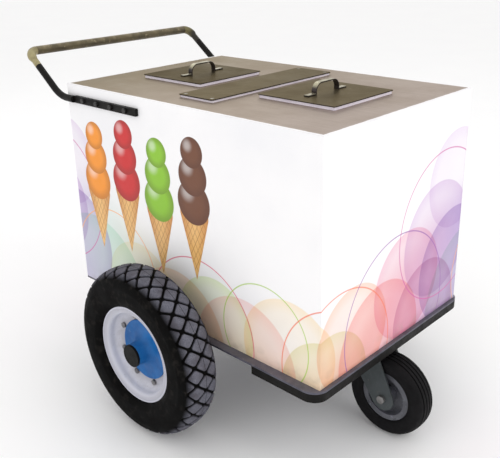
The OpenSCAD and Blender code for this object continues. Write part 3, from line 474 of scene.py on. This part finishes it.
def painted_metal(name, base, dark, worn, rough, wear_level=0.63, chip=0.5, pale_top=0.45, **fixed):
    """Brush-painted steel with uneven gloss, a pale layer on top that is dust and, where it is set strong,
    painted light, and chips down to a lighter tone.
    """
    paint = Paint(name, **fixed)
    cloud = paint.noise(16, 5, 0.6)
    colour = paint.mix(paint.span(cloud, 0.35, 0.68), linear(*base), linear(*dark))
    chips = paint.span(paint.noise(85, 6, 0.68), wear_level, wear_level + 0.05)
    colour = paint.mix(paint.math("MULTIPLY", chips, chip), colour, linear(*worn))
    # Pale layer on faces that look up: dust, and painted light on top where it is set strong.
    pale_layer = paint.span(paint.noise(45, 5), 0.35, 0.75, pale_top / 4, pale_top)
    layer_share = paint.math("MULTIPLY", paint.up(), pale_layer)
    colour = paint.mix(layer_share, colour, linear(*worn))
    ruffle = paint.span(paint.noise(60, 4), 0.3, 0.7, rough - 0.08, rough + 0.1)
    bump = paint.math("ADD", paint.noise(260, 3), paint.math("MULTIPLY", chips, -0.6))
    return paint.finish(colour, ruffle, bump, PAINT_DEPTH)


def bare_metal(name, base, dark, rough):
    """Plated or bare steel, dulled in clouds, with small dark pits."""
    paint = Paint(name, Metallic=0.9)
    cloud = paint.noise(40, 6, 0.6)
    pits = paint.span(paint.specks(900), 0.05, 0.22, 1, 0)
    colour = paint.mix(paint.span(cloud, 0.38, 0.7, 0, 0.9), linear(*base), linear(*dark))
    colour = paint.mix(paint.math("MULTIPLY", pits, 0.3), colour, linear(*dark))
    ruffle = paint.span(cloud, 0.3, 0.72, rough - 0.08, rough + 0.16)
    return paint.finish(colour, ruffle, paint.noise(500, 2), PLATING_DEPTH)


def strap_steel():
    """Plated straps, with painted light: shaded dark on the legs and lit bright on top."""
    paint = Paint("strap_steel", Metallic=0.7)
    cloud = paint.noise(40, 6, 0.6)
    tarnish = paint.span(cloud, 0.38, 0.7)
    # Painted light: a lit tone for faces that look up, a shaded tone for the legs, each with tarnish in
    # clouds.
    lit_top = paint.mix(tarnish, linear(186, 180, 154), linear(140, 132, 108))
    shaded_legs = paint.mix(tarnish, linear(66, 59, 58), linear(46, 41, 42))
    colour = paint.mix(paint.span(paint.up(), 0.3, 0.8), shaded_legs, lit_top)
    rough = paint.span(cloud, 0.3, 0.72, 0.24, 0.42)
    return paint.finish(colour, rough, paint.noise(500, 2), PLATING_DEPTH)


def moulded(name, base, dark, rough, grain=700, **fixed):
    """Moulded plastic, rubber or foam with a fine skin and faint soiling."""
    paint = Paint(name, **fixed)
    cloud = paint.noise(22, 5, 0.6)
    colour = paint.mix(paint.span(cloud, 0.35, 0.7), linear(*base), linear(*dark))
    ruffle = paint.span(paint.noise(70, 4), 0.3, 0.7, rough - 0.06, rough + 0.08)
    return paint.finish(colour, ruffle, paint.noise(grain, 2), SKIN_DEPTH)


def elbow_steel():
    """Bare elbows: rubbed pale on the right, stained darker on the left, with dull pits."""
    paint = Paint("elbow_steel", Metallic=0.3)
    x, y, _ = paint.xyz()
    left = paint.span(y, -ELBOW_FADE_HALF, ELBOW_FADE_HALF)
    cloud = paint.span(paint.noise(34, 6, 0.62), 0.35, 0.7)
    pale = paint.mix(cloud, linear(164, 154, 114), linear(130, 120, 86))
    stained = paint.mix(cloud, linear(112, 104, 66), linear(72, 65, 42))
    colour = paint.mix(left, pale, stained)
    sooty = paint.math("MULTIPLY", left, paint.span(x, SOOT_X, SOOT_FULL_X))
    colour = paint.mix(sooty, colour, linear(36, 32, 24))
    pits = paint.span(paint.noise(160, 5, 0.65), 0.60, 0.68)
    colour = paint.mix(paint.math("MULTIPLY", pits, 0.4), colour, linear(84, 74, 50))
    rough = paint.span(paint.noise(70, 4), 0.3, 0.7, 0.36, 0.54)
    return paint.finish(colour, rough, paint.noise(300, 3), ELBOW_DEPTH)


def tyre_rubber():
    """Black rubber: dusty grey on the tops of the blocks, black in the grooves and on the sides."""
    paint = Paint("tyre_rubber", Specular_IOR_Level=0.06)
    worn = paint.node("ShaderNodeAttribute", {}, attribute_name="worn").outputs["Fac"]
    cloud = paint.noise(26, 6, 0.62)
    fine = paint.noise(330, 4, 0.65)
    black = paint.mix(paint.span(cloud, 0.35, 0.7), linear(4, 4, 4), linear(8, 7, 7))
    pale_top = paint.mix(paint.span(fine, 0.3, 0.7), linear(90, 91, 101), linear(114, 114, 125))
    pale_top = paint.mix(paint.span(cloud, 0.4, 0.7), pale_top, linear(84, 82, 90))
    off_middle = paint.math("SUBTRACT", paint.math("ABSOLUTE", paint.xyz()[1]), WHEEL_Y)
    seam = paint.span(paint.math("ABSOLUTE", off_middle), SEAM_HALF, SEAM_EDGE, 0.75, 0)
    pale_top = paint.mix(seam, pale_top, linear(34, 33, 37))
    colour = paint.mix(worn, black, pale_top)
    mud = paint.math("MULTIPLY", paint.span(paint.noise(60, 6), 0.52, 0.72), 0.06)
    colour = paint.mix(mud, colour, linear(112, 104, 98))
    rough = paint.span(cloud, 0.3, 0.7, 0.58, 0.76)
    return paint.finish(colour, rough, paint.math("SUBTRACT", fine, seam), RUBBER_DEPTH)


def rim_enamel():
    """Pale enamel in the rim's dish, with painted light and shade by radius, grime where the disc meets the
    cone, and rust freckles.
    """
    paint = Paint("rim_enamel", Specular_IOR_Level=0.45)
    x, _, z = paint.xyz()
    up = paint.math("SUBTRACT", z, AXLE_Z)
    square = paint.math("ADD", paint.math("MULTIPLY", x, x), paint.math("MULTIPLY", up, up))
    away = paint.math("SQRT", square)
    inside, outside = paint.span(away, GRIME_IN_R, GRIME_R), paint.span(away, GRIME_R, GRIME_OUT_R, 1, 0)
    corner = paint.math("MULTIPLY", inside, outside)
    grime = paint.span(paint.noise(36, 6, 0.65), 0.35, 0.7)
    cloud = paint.span(paint.noise(14, 5), 0.35, 0.7)
    colour = paint.mix(cloud, linear(182, 182, 191), linear(162, 162, 170))
    # Painted light and shade: a lighter cone, a darker flare and a highlight on the lip, over the enamel's
    # own tone.
    first, last = RIM_LIGHT_AND_SHADE_TONES[0][0], RIM_LIGHT_AND_SHADE_TONES[-1][0]
    stops = [((r - first) / (last - first), linear(*tone)) for r, tone in RIM_LIGHT_AND_SHADE_TONES]
    light_and_shade = paint.ramp(paint.span(away, first, last, smooth=False), stops)
    colour = paint.mix(0.8, colour, light_and_shade)
    soiled = paint.math("MULTIPLY", paint.math("MULTIPLY", corner, grime), 0.3)
    colour = paint.mix(soiled, colour, linear(126, 120, 116))
    freckles = paint.span(paint.noise(95, 6, 0.7), 0.63, 0.69)
    colour = paint.mix(paint.math("MULTIPLY", freckles, 0.4), colour, linear(120, 104, 92))
    rough = paint.span(grime, 0, 1, 0.34, 0.56)
    return paint.finish(colour, rough, paint.noise(210, 3), ENAMEL_DEPTH)


def pale_floor():
    paint = Paint("pale_floor", Specular_IOR_Level=0.2)
    colour = paint.mix(paint.noise(2.5, 4), linear(255, 255, 255), linear(252, 252, 253))
    return paint.finish(colour, paint.span(paint.noise(20, 3), 0.3, 0.7, 0.72, 0.85))


# Mesh builders

# Angles beyond which the edges of pressed metal and of the tread stay crisp, in degrees
CRISP_ANGLE, TREAD_CRISP_ANGLE = 38, 60


def piece(name, verts, faces, material, body, sharp=CRISP_ANGLE):
    """Links a smooth mesh, crisp at edges sharper than an angle, and rides it on a body."""
    mesh = bpy.data.meshes.new(name)
    mesh.from_pydata([tuple(v) for v in verts], [], faces)
    mesh.validate()
    mesh.polygons.foreach_set("use_smooth", [True] * len(mesh.polygons))
    mesh.set_sharp_from_angle(angle=math.radians(sharp))
    mesh.materials.append(material)
    obj = bpy.data.objects.new(name, mesh)
    bpy.context.scene.collection.objects.link(obj)
    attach(obj, body)
    return obj


# Most of an edge that the fillet at one of its ends may take up, and the steps of a fillet
FILLET_LIMIT_SHARE = 0.66
FILLET_STEPS, HUB_FILLET_STEPS = 6, 8


def rounded(corners, steps=FILLET_STEPS):
    """A closed outline with rounded corners: each is a radius, a place along the axis and a fillet."""
    points = []
    count = len(corners)
    for i, (r, a, fillet) in enumerate(corners):
        here = Vector((r, a))
        if not fillet:
            points.append(here)
            continue
        before = Vector(corners[i - 1][:2]) - here
        after = Vector(corners[(i + 1) % count][:2]) - here
        reach = fillet * math.tan((math.pi - before.angle(after)) / 2)
        start = here + before.normalized() * min(reach, before.length * FILLET_LIMIT_SHARE)
        end = here + after.normalized() * min(reach, after.length * FILLET_LIMIT_SHARE)
        for k in range(steps + 1):
            t = k / steps
            points.append((1 - t) ** 2 * start + 2 * t * (1 - t) * here + t * t * end)
    return points


def on_wheel(centre, side, r, a, turn):
    """A point at a radius and a place along an axle that runs along Y, outwards on the given side."""
    return (centre[0] + r * math.sin(turn), centre[1] + side * a, centre[2] + r * math.cos(turn))


def turned(centre, side, outline, columns):
    """Vertices and faces of a closed outline turned around an axle."""
    count = len(outline)
    verts = []
    for i in range(columns):
        turn = 2 * math.pi * i / columns
        verts.extend(on_wheel(centre, side, p[0], p[1], turn) for p in outline)
    faces = []
    for i in range(columns):
        near, far = i * count, (i + 1) % columns * count
        for k in range(count):
            n = (k + 1) % count
            face = (near + k, near + n, far + n, far + k)
            faces.append(face if side < 0 else face[::-1])
    return verts, faces


# How near vertices are joined, in metres, and angles of flat faces and of edges to break, in degrees
WELD_REACH = 0.00002
FLAT_ANGLE, BREAK_ANGLE = 1, 40

# Widths of broken edges, in metres
FINE_EDGE, SMALL_EDGE, SOFT_EDGE, THICK_EDGE = 0.0005, 0.0006, 0.0008, 0.001
DECK_EDGE, CAP_EDGE = 0.0012, 0.0018


def polish(node, material, bevel, segments=2):
    """Gives a CAD node its finish and breaks its sharp edges."""
    obj = cad[node]
    obj.data.materials.clear()
    obj.data.materials.append(material)
    if bevel:
        weld = obj.modifiers.new("weld", "WELD")
        weld.merge_threshold = WELD_REACH
        flat = obj.modifiers.new("flat", "DECIMATE")
        flat.decimate_type = "DISSOLVE"
        flat.angle_limit = math.radians(FLAT_ANGLE)
        edge = obj.modifiers.new("edge", "BEVEL")
        edge.width = bevel
        edge.segments = segments
        edge.limit_method = "ANGLE"
        edge.angle_limit = math.radians(BREAK_ANGLE)
        edge.harden_normals = True
    smooth = obj.modifiers.new("normals", "WEIGHTED_NORMAL")
    smooth.keep_sharp = True


# Main wheels

# Steps along the tyre's section as counts, with the crown's crowded towards the widest place
CROWN_STEPS, CROWN_CROWDING, SIDE_STEPS = 400, 1.5, 8

# Steps along the section's lower outside and its inside, in degrees
FLANK_STEP, INSIDE_STEP = 8, 15


def over_crown(angle, crown, half):
    """A point of the tyre's section above its widest place."""
    power = 2 / SQUARENESS
    return (BELLY_R + (crown - BELLY_R) * math.sin(angle) ** power, half * math.cos(angle) ** power)


def under_belly(angle, foot, half, foot_half):
    """A point of the tyre's section between its widest place and its foot."""
    r = BELLY_R - (BELLY_R - foot) * math.sin(angle)
    return (r, foot_half + (half - foot_half) * math.cos(angle))


def crown_curve():
    """The section from the crown's middle to its widest place, with the length run at each point."""
    points = []
    for i in range(CROWN_STEPS):
        angle = math.pi / 2 * (1 - i / CROWN_STEPS) ** CROWN_CROWDING
        points.append(over_crown(angle, TYRE_R, TYRE_HALF))
    points.append((BELLY_R, TYRE_HALF))
    lengths = [0.0]
    for a, b in zip(points, points[1:]):
        lengths.append(lengths[-1] + math.dist(a, b))
    return points, lengths


CROWN, CROWN_LENGTHS = crown_curve()


def along_crown(length):
    """The section's point and outward direction at a length from the middle of the crown."""
    i = min(max(bisect.bisect(CROWN_LENGTHS, abs(length)), 1), len(CROWN) - 1)
    (r0, a0), (r1, a1) = CROWN[i - 1], CROWN[i]
    run = CROWN_LENGTHS[i] - CROWN_LENGTHS[i - 1]
    t = (abs(length) - CROWN_LENGTHS[i - 1]) / run
    side = -1 if length < 0 else 1
    out = ((a1 - a0) / run, -(r1 - r0) / run * side)
    return (r0 + (r1 - r0) * t, (a0 + (a1 - a0) * t) * side), out


def clamped(value):
    return min(max(value, 0), 1)


def block_height(p, q):
    """Share of the full tread depth that is left at a place of the pattern."""
    half = 0.5 - GROOVE_SHARE - BLOCK_CORNER_SHARE
    x = 0.5 - abs(p - round(p)) - half
    y = 0.5 - abs(q - round(q)) - half
    edge = math.hypot(max(x, 0), max(y, 0)) + min(max(x, y), 0) - BLOCK_CORNER_SHARE
    wall = clamped((WALL_START_SHARE - edge) / WALL_RUN_SHARE)
    crest = 1 - CREST_DROP_SHARE * clamped((edge + CREST_START_SHARE) / CREST_RUN_SHARE) ** 2
    return wall * crest


def shouldered(height, v):
    """The block's height with the grooves run out at the edges of the tread."""
    shoulder = clamped((abs(v) - RUNOUT_START_SHARE) / RUNOUT_SHARE)
    return height + (1 - height) * shoulder ** 2


def block_wear(height, v):
    """How dusty a place of the tread is: the tops of the blocks, fading out over the shoulders."""
    shoulder = clamped((abs(v) - FADE_START_SHARE) / FADE_SHARE)
    return height ** 3 * (1 - shoulder)


def side_section():
    """The section from the edge of the tread over the side and the bead to the middle of the inside."""
    points = []
    for i in range(1, SIDE_STEPS + 1):
        length = TREAD_HALF + (CROWN_LENGTHS[-1] - TREAD_HALF) * i / SIDE_STEPS
        points.append(along_crown(length)[0])
    outside = range(FLANK_STEP, 90, FLANK_STEP)
    points += [under_belly(math.radians(a), FOOT_R, TYRE_HALF, FOOT_HALF) for a in outside]
    points += [(FOOT_R, BEAD_HALF), (BEAD_R, BEAD_HALF), (BEAD_R, TOE_BASE_HALF)]
    inner_half = TYRE_HALF - CASING_T
    inside = range(90, 0, -INSIDE_STEP)
    points += [under_belly(math.radians(a), TOE_R, inner_half, TOE_HALF) for a in inside]
    vault = range(0, 90, INSIDE_STEP)
    points += [over_crown(math.radians(a), CROWN_INNER_R, inner_half) for a in vault]
    return [ridged(p) for p in points]


def ridged(point):
    """Raises two fine mould lines on the side of the tyre."""
    r, a = point
    if a < FOOT_HALF:
        return point
    rise = sum(MOULD_LINE_RISE * max(0, 1 - abs(r - line) / MOULD_LINE_REACH) for line in MOULD_LINES)
    return (r, min(a + rise, TYRE_HALF))


def block_line(i):
    """Place of a grid line of the tread, in pitches of the blocks."""
    return i // len(BLOCK_LINES) + BLOCK_LINES[i % len(BLOCK_LINES)]


def tread_grid(centre, side, around, reach):
    """Vertices and wear of the tread's diagonal grid."""
    verts, worn = [], []
    for i in range(around):
        for j in range(i - reach, i + reach + 1):
            q, p = block_line(i), block_line(j)
            v = (p - q) / ROWS_ACROSS * 2
            v = v if abs(v) < 1 else math.copysign(1, v)
            (r, a), out = along_crown(v * TREAD_HALF)
            height = block_height(p, q)
            drop = TREAD_DEPTH * (1 - shouldered(height, v))
            turn = math.pi * (p + q) / BLOCKS_AROUND
            verts.append(on_wheel(centre, side, r - drop * out[0], a - drop * out[1], turn))
            worn.append(block_wear(height, v))
    return verts, worn


def tread_faces(around, reach, spot):
    faces = []
    for i in range(around):
        for j in range(i - reach, i + reach + 1):
            if j == i - reach:
                face = (spot(i, j), spot(i + 1, j + 1), spot(i, j + 1))
            elif j == i + reach:
                face = (spot(i, j), spot(i + 1, j), spot(i + 1, j + 1))
            else:
                face = (spot(i, j), spot(i + 1, j), spot(i + 1, j + 1), spot(i, j + 1))
            faces.append(face)
    return faces


def flank_rings(centre, side, flank, ring, verts, faces, worn):
    """Adds rings down one side of a tyre from the edge of its tread, and gives the last ring."""
    around = len(ring)
    for r, a in side_section():
        start = len(verts)
        for i in range(around):
            turn = 2 * math.pi * (block_line(i) + flank * ROWS_ACROSS / 4) / BLOCKS_AROUND
            verts.append(on_wheel(centre, side, r, flank * a, turn))
            worn.append(0.0)
        last, ring = ring, list(range(start, start + around))
        for i in range(around):
            n = (i + 1) % around
            face = (last[i], last[n], ring[n], ring[i])
            faces.append(face if flank > 0 else face[::-1])
    return ring


def tread_mesh(centre, side):
    """Vertices, faces and wear of a tyre: a diagonal grid for the tread, then rings down both sides."""
    around = BLOCKS_AROUND * len(BLOCK_LINES)
    reach = ROWS_ACROSS // 2 * len(BLOCK_LINES)
    width = 2 * reach + 1

    def spot(i, j):
        return (i % around) * width + (j - i + reach)

    verts, worn = tread_grid(centre, side, around, reach)
    faces = tread_faces(around, reach, spot)
    rings = []
    for flank in (1, -1):
        edge = [spot(i, i + flank * reach) for i in range(around)]
        rings.append(flank_rings(centre, side, flank, edge, verts, faces, worn))
    for i in range(around):
        n = i + 1
        a, b = (i + reach) % around, (n + reach) % around
        faces.append((rings[0][i], rings[0][n % around], rings[1][b], rings[1][a]))
    if side > 0:
        faces = [f[::-1] for f in faces]
    return verts, faces, worn


def make_tyre(name, side, material):
    centre = (0, side * WHEEL_Y, AXLE_Z)
    verts, faces, worn = tread_mesh(centre, side)
    obj = piece("tread_" + name, verts, faces, material, "wheel_" + name, TREAD_CRISP_ANGLE)
    layer = obj.data.attributes.new("worn", "FLOAT", "POINT")
    layer.data.foreach_set("value", worn)
    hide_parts("tyre_" + name)


def rim_outline():
    """One pressed half of the rim, as corners with fillets, from the bore outwards and back."""
    return rounded([
        (HUB_BORE_R, SPLIT_HALF, 0), (HUB_BORE_R, RIM_T, BORE_EDGE_R),
        (WELL_R - RIM_T, RIM_T, DISH_R), (SEAT_R - RIM_T, SEAT_IN, CONE_R),
        (SEAT_R - RIM_T, RIM_HALF, FLARE_R), (FLANGE_R + RIM_T / 2, RIM_HALF, LIP_R),
        (FLANGE_R + RIM_T / 2, RIM_HALF - RIM_T, LIP_R), (SEAT_R, RIM_HALF - RIM_T, UNDER_FLARE_R),
        (SEAT_R, SEAT_IN, UNDER_CONE_R), (WELL_R, SPLIT_HALF, WELL_EDGE_R),
    ])


def make_rim(name, side, material):
    centre = (0, side * WHEEL_Y, AXLE_Z)
    verts, faces = [], []
    for flank in (1, -1):
        half = [Vector((p[0], flank * p[1])) for p in rim_outline()]
        more, links = turned(centre, side, half, RIM_COLUMNS)
        start = len(verts)
        verts += more
        faces += [tuple(start + k for k in (f if flank > 0 else f[::-1])) for f in links]
    obj = piece("pressed_rim_" + name, verts, faces, material, "wheel_" + name)
    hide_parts("rim_" + name)


def hub_outline():
    """The hub's barrel and disc, joined by a wide fillet, from the outer bearing's bore and back."""
    return rounded([
        (BEARING_BORE_R, BEARING_STOP_HIGH, 0), (BEARING_BORE_R, HUB_OUT, 0), (HUB_R, HUB_OUT, HUB_EDGE_R),
        (HUB_R, HUB_DISC_HIGH, HUB_FILLET_R), (HUB_DISC_R, HUB_DISC_HIGH, HUB_DISC_EDGE_R),
        (HUB_DISC_R, HUB_DISC_LOW, HUB_DISC_BACK_R), (HUB_R, HUB_DISC_LOW, 0),
        (HUB_R, HUB_IN, HUB_EDGE_R), (BEARING_BORE_R, HUB_IN, 0),
        (BEARING_BORE_R, BEARING_STOP_LOW, 0), (BEARING_STOP_R, BEARING_STOP_LOW, 0),
        (BEARING_STOP_R, BEARING_STOP_HIGH, 0),
    ], HUB_FILLET_STEPS)


def make_hub(name, side, material):
    centre = (0, side * WHEEL_Y, AXLE_Z)
    verts, faces = turned(centre, side, hub_outline(), HUB_COLUMNS)
    obj = piece("welded_hub_" + name, verts, faces, material, "wheel_" + name)
    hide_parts("hub_" + name)


# Camera, light and floor

def place_camera():
    yaw, pitch, roll = (math.radians(v) for v in (CAMERA_YAW, CAMERA_PITCH, CAMERA_ROLL))
    ahead = Vector((math.cos(pitch) * math.cos(yaw), math.cos(pitch) * math.sin(yaw), math.sin(pitch)))
    right = ahead.cross(Vector((0, 0, 1))).normalized()
    up = right.cross(ahead)
    across = math.cos(roll) * right + math.sin(roll) * up
    upright = -math.sin(roll) * right + math.cos(roll) * up
    camera = bpy.data.objects.new("camera", bpy.data.cameras.new("camera"))
    turn = Matrix((across, upright, -ahead)).transposed().to_4x4()
    camera.matrix_world = Matrix.Translation(CAMERA_AT) @ turn
    camera.data.sensor_width = SENSOR
    camera.data.lens = FOCAL_PX * SENSOR / IMAGE_W
    camera.data.shift_x = (IMAGE_W / 2 - MIDDLE_PX[0]) / IMAGE_W
    camera.data.shift_y = -(IMAGE_H / 2 - MIDDLE_PX[1]) / IMAGE_W
    bpy.context.scene.collection.objects.link(camera)
    bpy.context.scene.camera = camera


def area_light(name, place, target, size, power):
    data = bpy.data.lights.new(name, "AREA")
    data.size = size
    data.energy = power
    light = bpy.data.objects.new(name, data)
    light.location = place
    light.rotation_euler = (Vector(target) - Vector(place)).to_track_quat("-Z", "Y").to_euler()
    bpy.context.scene.collection.objects.link(light)


def light_scene():
    world = bpy.data.worlds.new("studio")
    world.use_nodes = True
    sky = world.node_tree.nodes["Background"]
    sky.inputs["Color"].default_value = SKY_TINT
    sky.inputs["Strength"].default_value = SKY_STRENGTH
    bpy.context.scene.world = world
    for light in LIGHTS:
        area_light(*light)
    bpy.context.scene.view_settings.view_transform = "Standard"


def make_floor():
    mesh = bpy.data.meshes.new("floor")
    signs = ((-1, -1), (1, -1), (1, 1), (-1, 1))
    corners = [(x * FLOOR_HALF, y * FLOOR_HALF, 0) for x, y in signs]
    mesh.from_pydata(corners, [], [(0, 1, 2, 3)])
    mesh.materials.append(pale_floor())
    floor = bpy.data.objects.new("floor", mesh)
    bpy.context.scene.collection.objects.link(floor)


def finish_panels():
    sides = (("right", along_right), ("front", along_front), ("left", along_left), ("rear", along_rear))
    for name, along_of in sides:
        polish("panel_" + name, panel_wrap("wrap_" + name, along_of), SOFT_EDGE)


def finish_top():
    polish("top_deck", deck_steel(), DECK_EDGE, 3)
    # The rear lid takes a darker copy of the same steel: painted shade.
    plain_lid_steel = lid_steel("lid_steel", (126, 116, 95), (108, 98, 80), (98, 88, 71))
    shaded_rear = lid_steel("shaded_lid_steel", (104, 95, 76), (88, 79, 63), (80, 71, 56))
    lids = (("lid_plate_front", plain_lid_steel), ("lid_plate_rear", shaded_rear), ("centre_cover", plain_lid_steel))
    for node, steel in lids:
        polish(node, steel, FINE_EDGE)
    gasket = moulded("gasket_vinyl", (240, 234, 245), (228, 220, 233), 0.5)
    for node in ("lid_gasket_front", "lid_gasket_rear", "centre_gasket"):
        polish(node, gasket, SOFT_EDGE)
    strap = strap_steel()
    for node in ("lid_handle_front", "lid_handle_rear"):
        polish(node, strap, SMALL_EDGE)
    polish("centre_screws", bare_metal("screw_steel", (170, 164, 150), (110, 102, 90), 0.34), 0)


def finish_inside():
    pale = moulded("pale_plastic", (236, 236, 232), (220, 218, 212), 0.45)
    for node in ("hatch_throats", "lid_plug_front", "lid_plug_rear"):
        polish(node, pale, SOFT_EDGE)
    foam = moulded("foam", (226, 208, 150), (208, 186, 128), 0.85, 240)
    for node in ("wall_insulation", "roof_insulation", "centre_plug"):
        polish(node, foam, 0)
    liner = brushed("liner_steel", (205, 206, 208), (182, 184, 187), (170, 170, 170), 0.34, 2)
    polish("inner_liner", liner, SMALL_EDGE)
    cold = brushed("cold_plate_steel", (176, 190, 204), (152, 168, 186), (140, 150, 165), 0.4, 2)
    polish("cold_plate", cold, THICK_EDGE)


def finish_handle(black):
    for side in ("left", "right"):
        polish("handle_arm_" + side, black, 0)
        polish("handle_bar_" + side, black, SOFT_EDGE)
    # The crossbar's pale top layer is set strong: dust, and painted light that makes its top lighter than
    # its underside.
    worn = painted_metal(
        "crossbar_steel", (86, 76, 50), (62, 54, 34), (162, 148, 116), 0.4, 0.6, 0.5,
        pale_top=0.7, Metallic=0.3,
    )
    polish("handle_crossbar", worn, 0)
    polish("handle_elbows", elbow_steel(), 0)
    bolt = painted_metal("bolt_black", (26, 24, 22), (18, 17, 16), (52, 50, 48), 0.45, 0.6)
    polish("handle_bolts", bolt, SMALL_EDGE)


def finish_base(black, zinc):
    ledge = painted_metal("ledge_paint", (84, 83, 96), (66, 65, 77), (116, 110, 114), 0.5, 0.6, 0.5)
    polish("floor_plate", ledge, THICK_EDGE)
    for node in ("bumper_bar", "cross_tubes", "axle_beam", "axle_saddles"):
        polish(node, black, THICK_EDGE)
    plated = (
        "axle", "axle_spacers", "axle_nuts", "caster_plate", "caster_bolts",
        "swivel_race", "kingpin", "caster_axle",
    )
    for node in plated:
        polish(node, zinc, FINE_EDGE)


def finish_wheels():
    rubber, enamel = tyre_rubber(), rim_enamel()
    blue = painted_metal(
        "hub_blue", (10, 104, 174), (12, 84, 148), (96, 140, 184), 0.44, 0.64, 0.4,
        pale_top=0.1, Specular_IOR_Level=0.35,
    )
    cap = moulded("cap_black", (9, 9, 9), (5, 6, 5), 0.5, Specular_IOR_Level=0.12)
    stem = moulded("stem_rubber", (34, 33, 34), (26, 25, 26), 0.6)
    bearing = bare_metal("bearing_steel", (190, 192, 196), (130, 130, 132), 0.28)
    nut = bare_metal("rim_bolt_zinc", (150, 148, 148), (96, 93, 92), 0.4)
    for name, side in (("left", 1), ("right", -1)):
        make_tyre(name, side, rubber)
        make_rim(name, side, enamel)
        make_hub(name, side, blue)
        polish("hub_cap_" + name, cap, CAP_EDGE, 3)
        polish("rim_bolts_" + name, nut, SMALL_EDGE)
        polish("inner_tube_" + name, stem, 0)
        polish("bearings_" + name, bearing, 0)


def finish_caster():
    leg = painted_metal(
        "fork_grey", (72, 78, 80), (54, 60, 62), (104, 100, 98), 0.45, 0.6, 0.5, Metallic=0.3,
    )
    polish("caster_fork", leg, THICK_EDGE)
    rim = painted_metal(
        "caster_grey", (104, 105, 112), (80, 81, 87), (164, 164, 182), 0.34, 0.6, 0.5, Metallic=0.3,
    )
    polish("caster_wheel", rim, SOFT_EDGE)
    bearing = bare_metal("caster_bearing_steel", (186, 188, 190), (126, 126, 128), 0.3)
    polish("caster_bearings", bearing, 0)
    rubber = moulded("caster_rubber", (17, 16, 18), (11, 10, 12), 0.62, 420, Specular_IOR_Level=0.14)
    polish("caster_tyre", rubber, SOFT_EDGE)


def build():
    black = painted_metal(
        "black_paint", (16, 14, 11), (10, 9, 8), (54, 50, 46), 0.5, 0.66, 0.45,
        pale_top=0.12, Specular_IOR_Level=0.16,
    )
    zinc = bare_metal("zinc_plate", (166, 164, 164), (108, 104, 102), 0.36)
    place_camera()
    light_scene()
    make_floor()
    finish_panels()
    finish_top()
    finish_inside()
    finish_handle(black)
    finish_base(black, zinc)
    finish_wheels()
    finish_caster()


build()
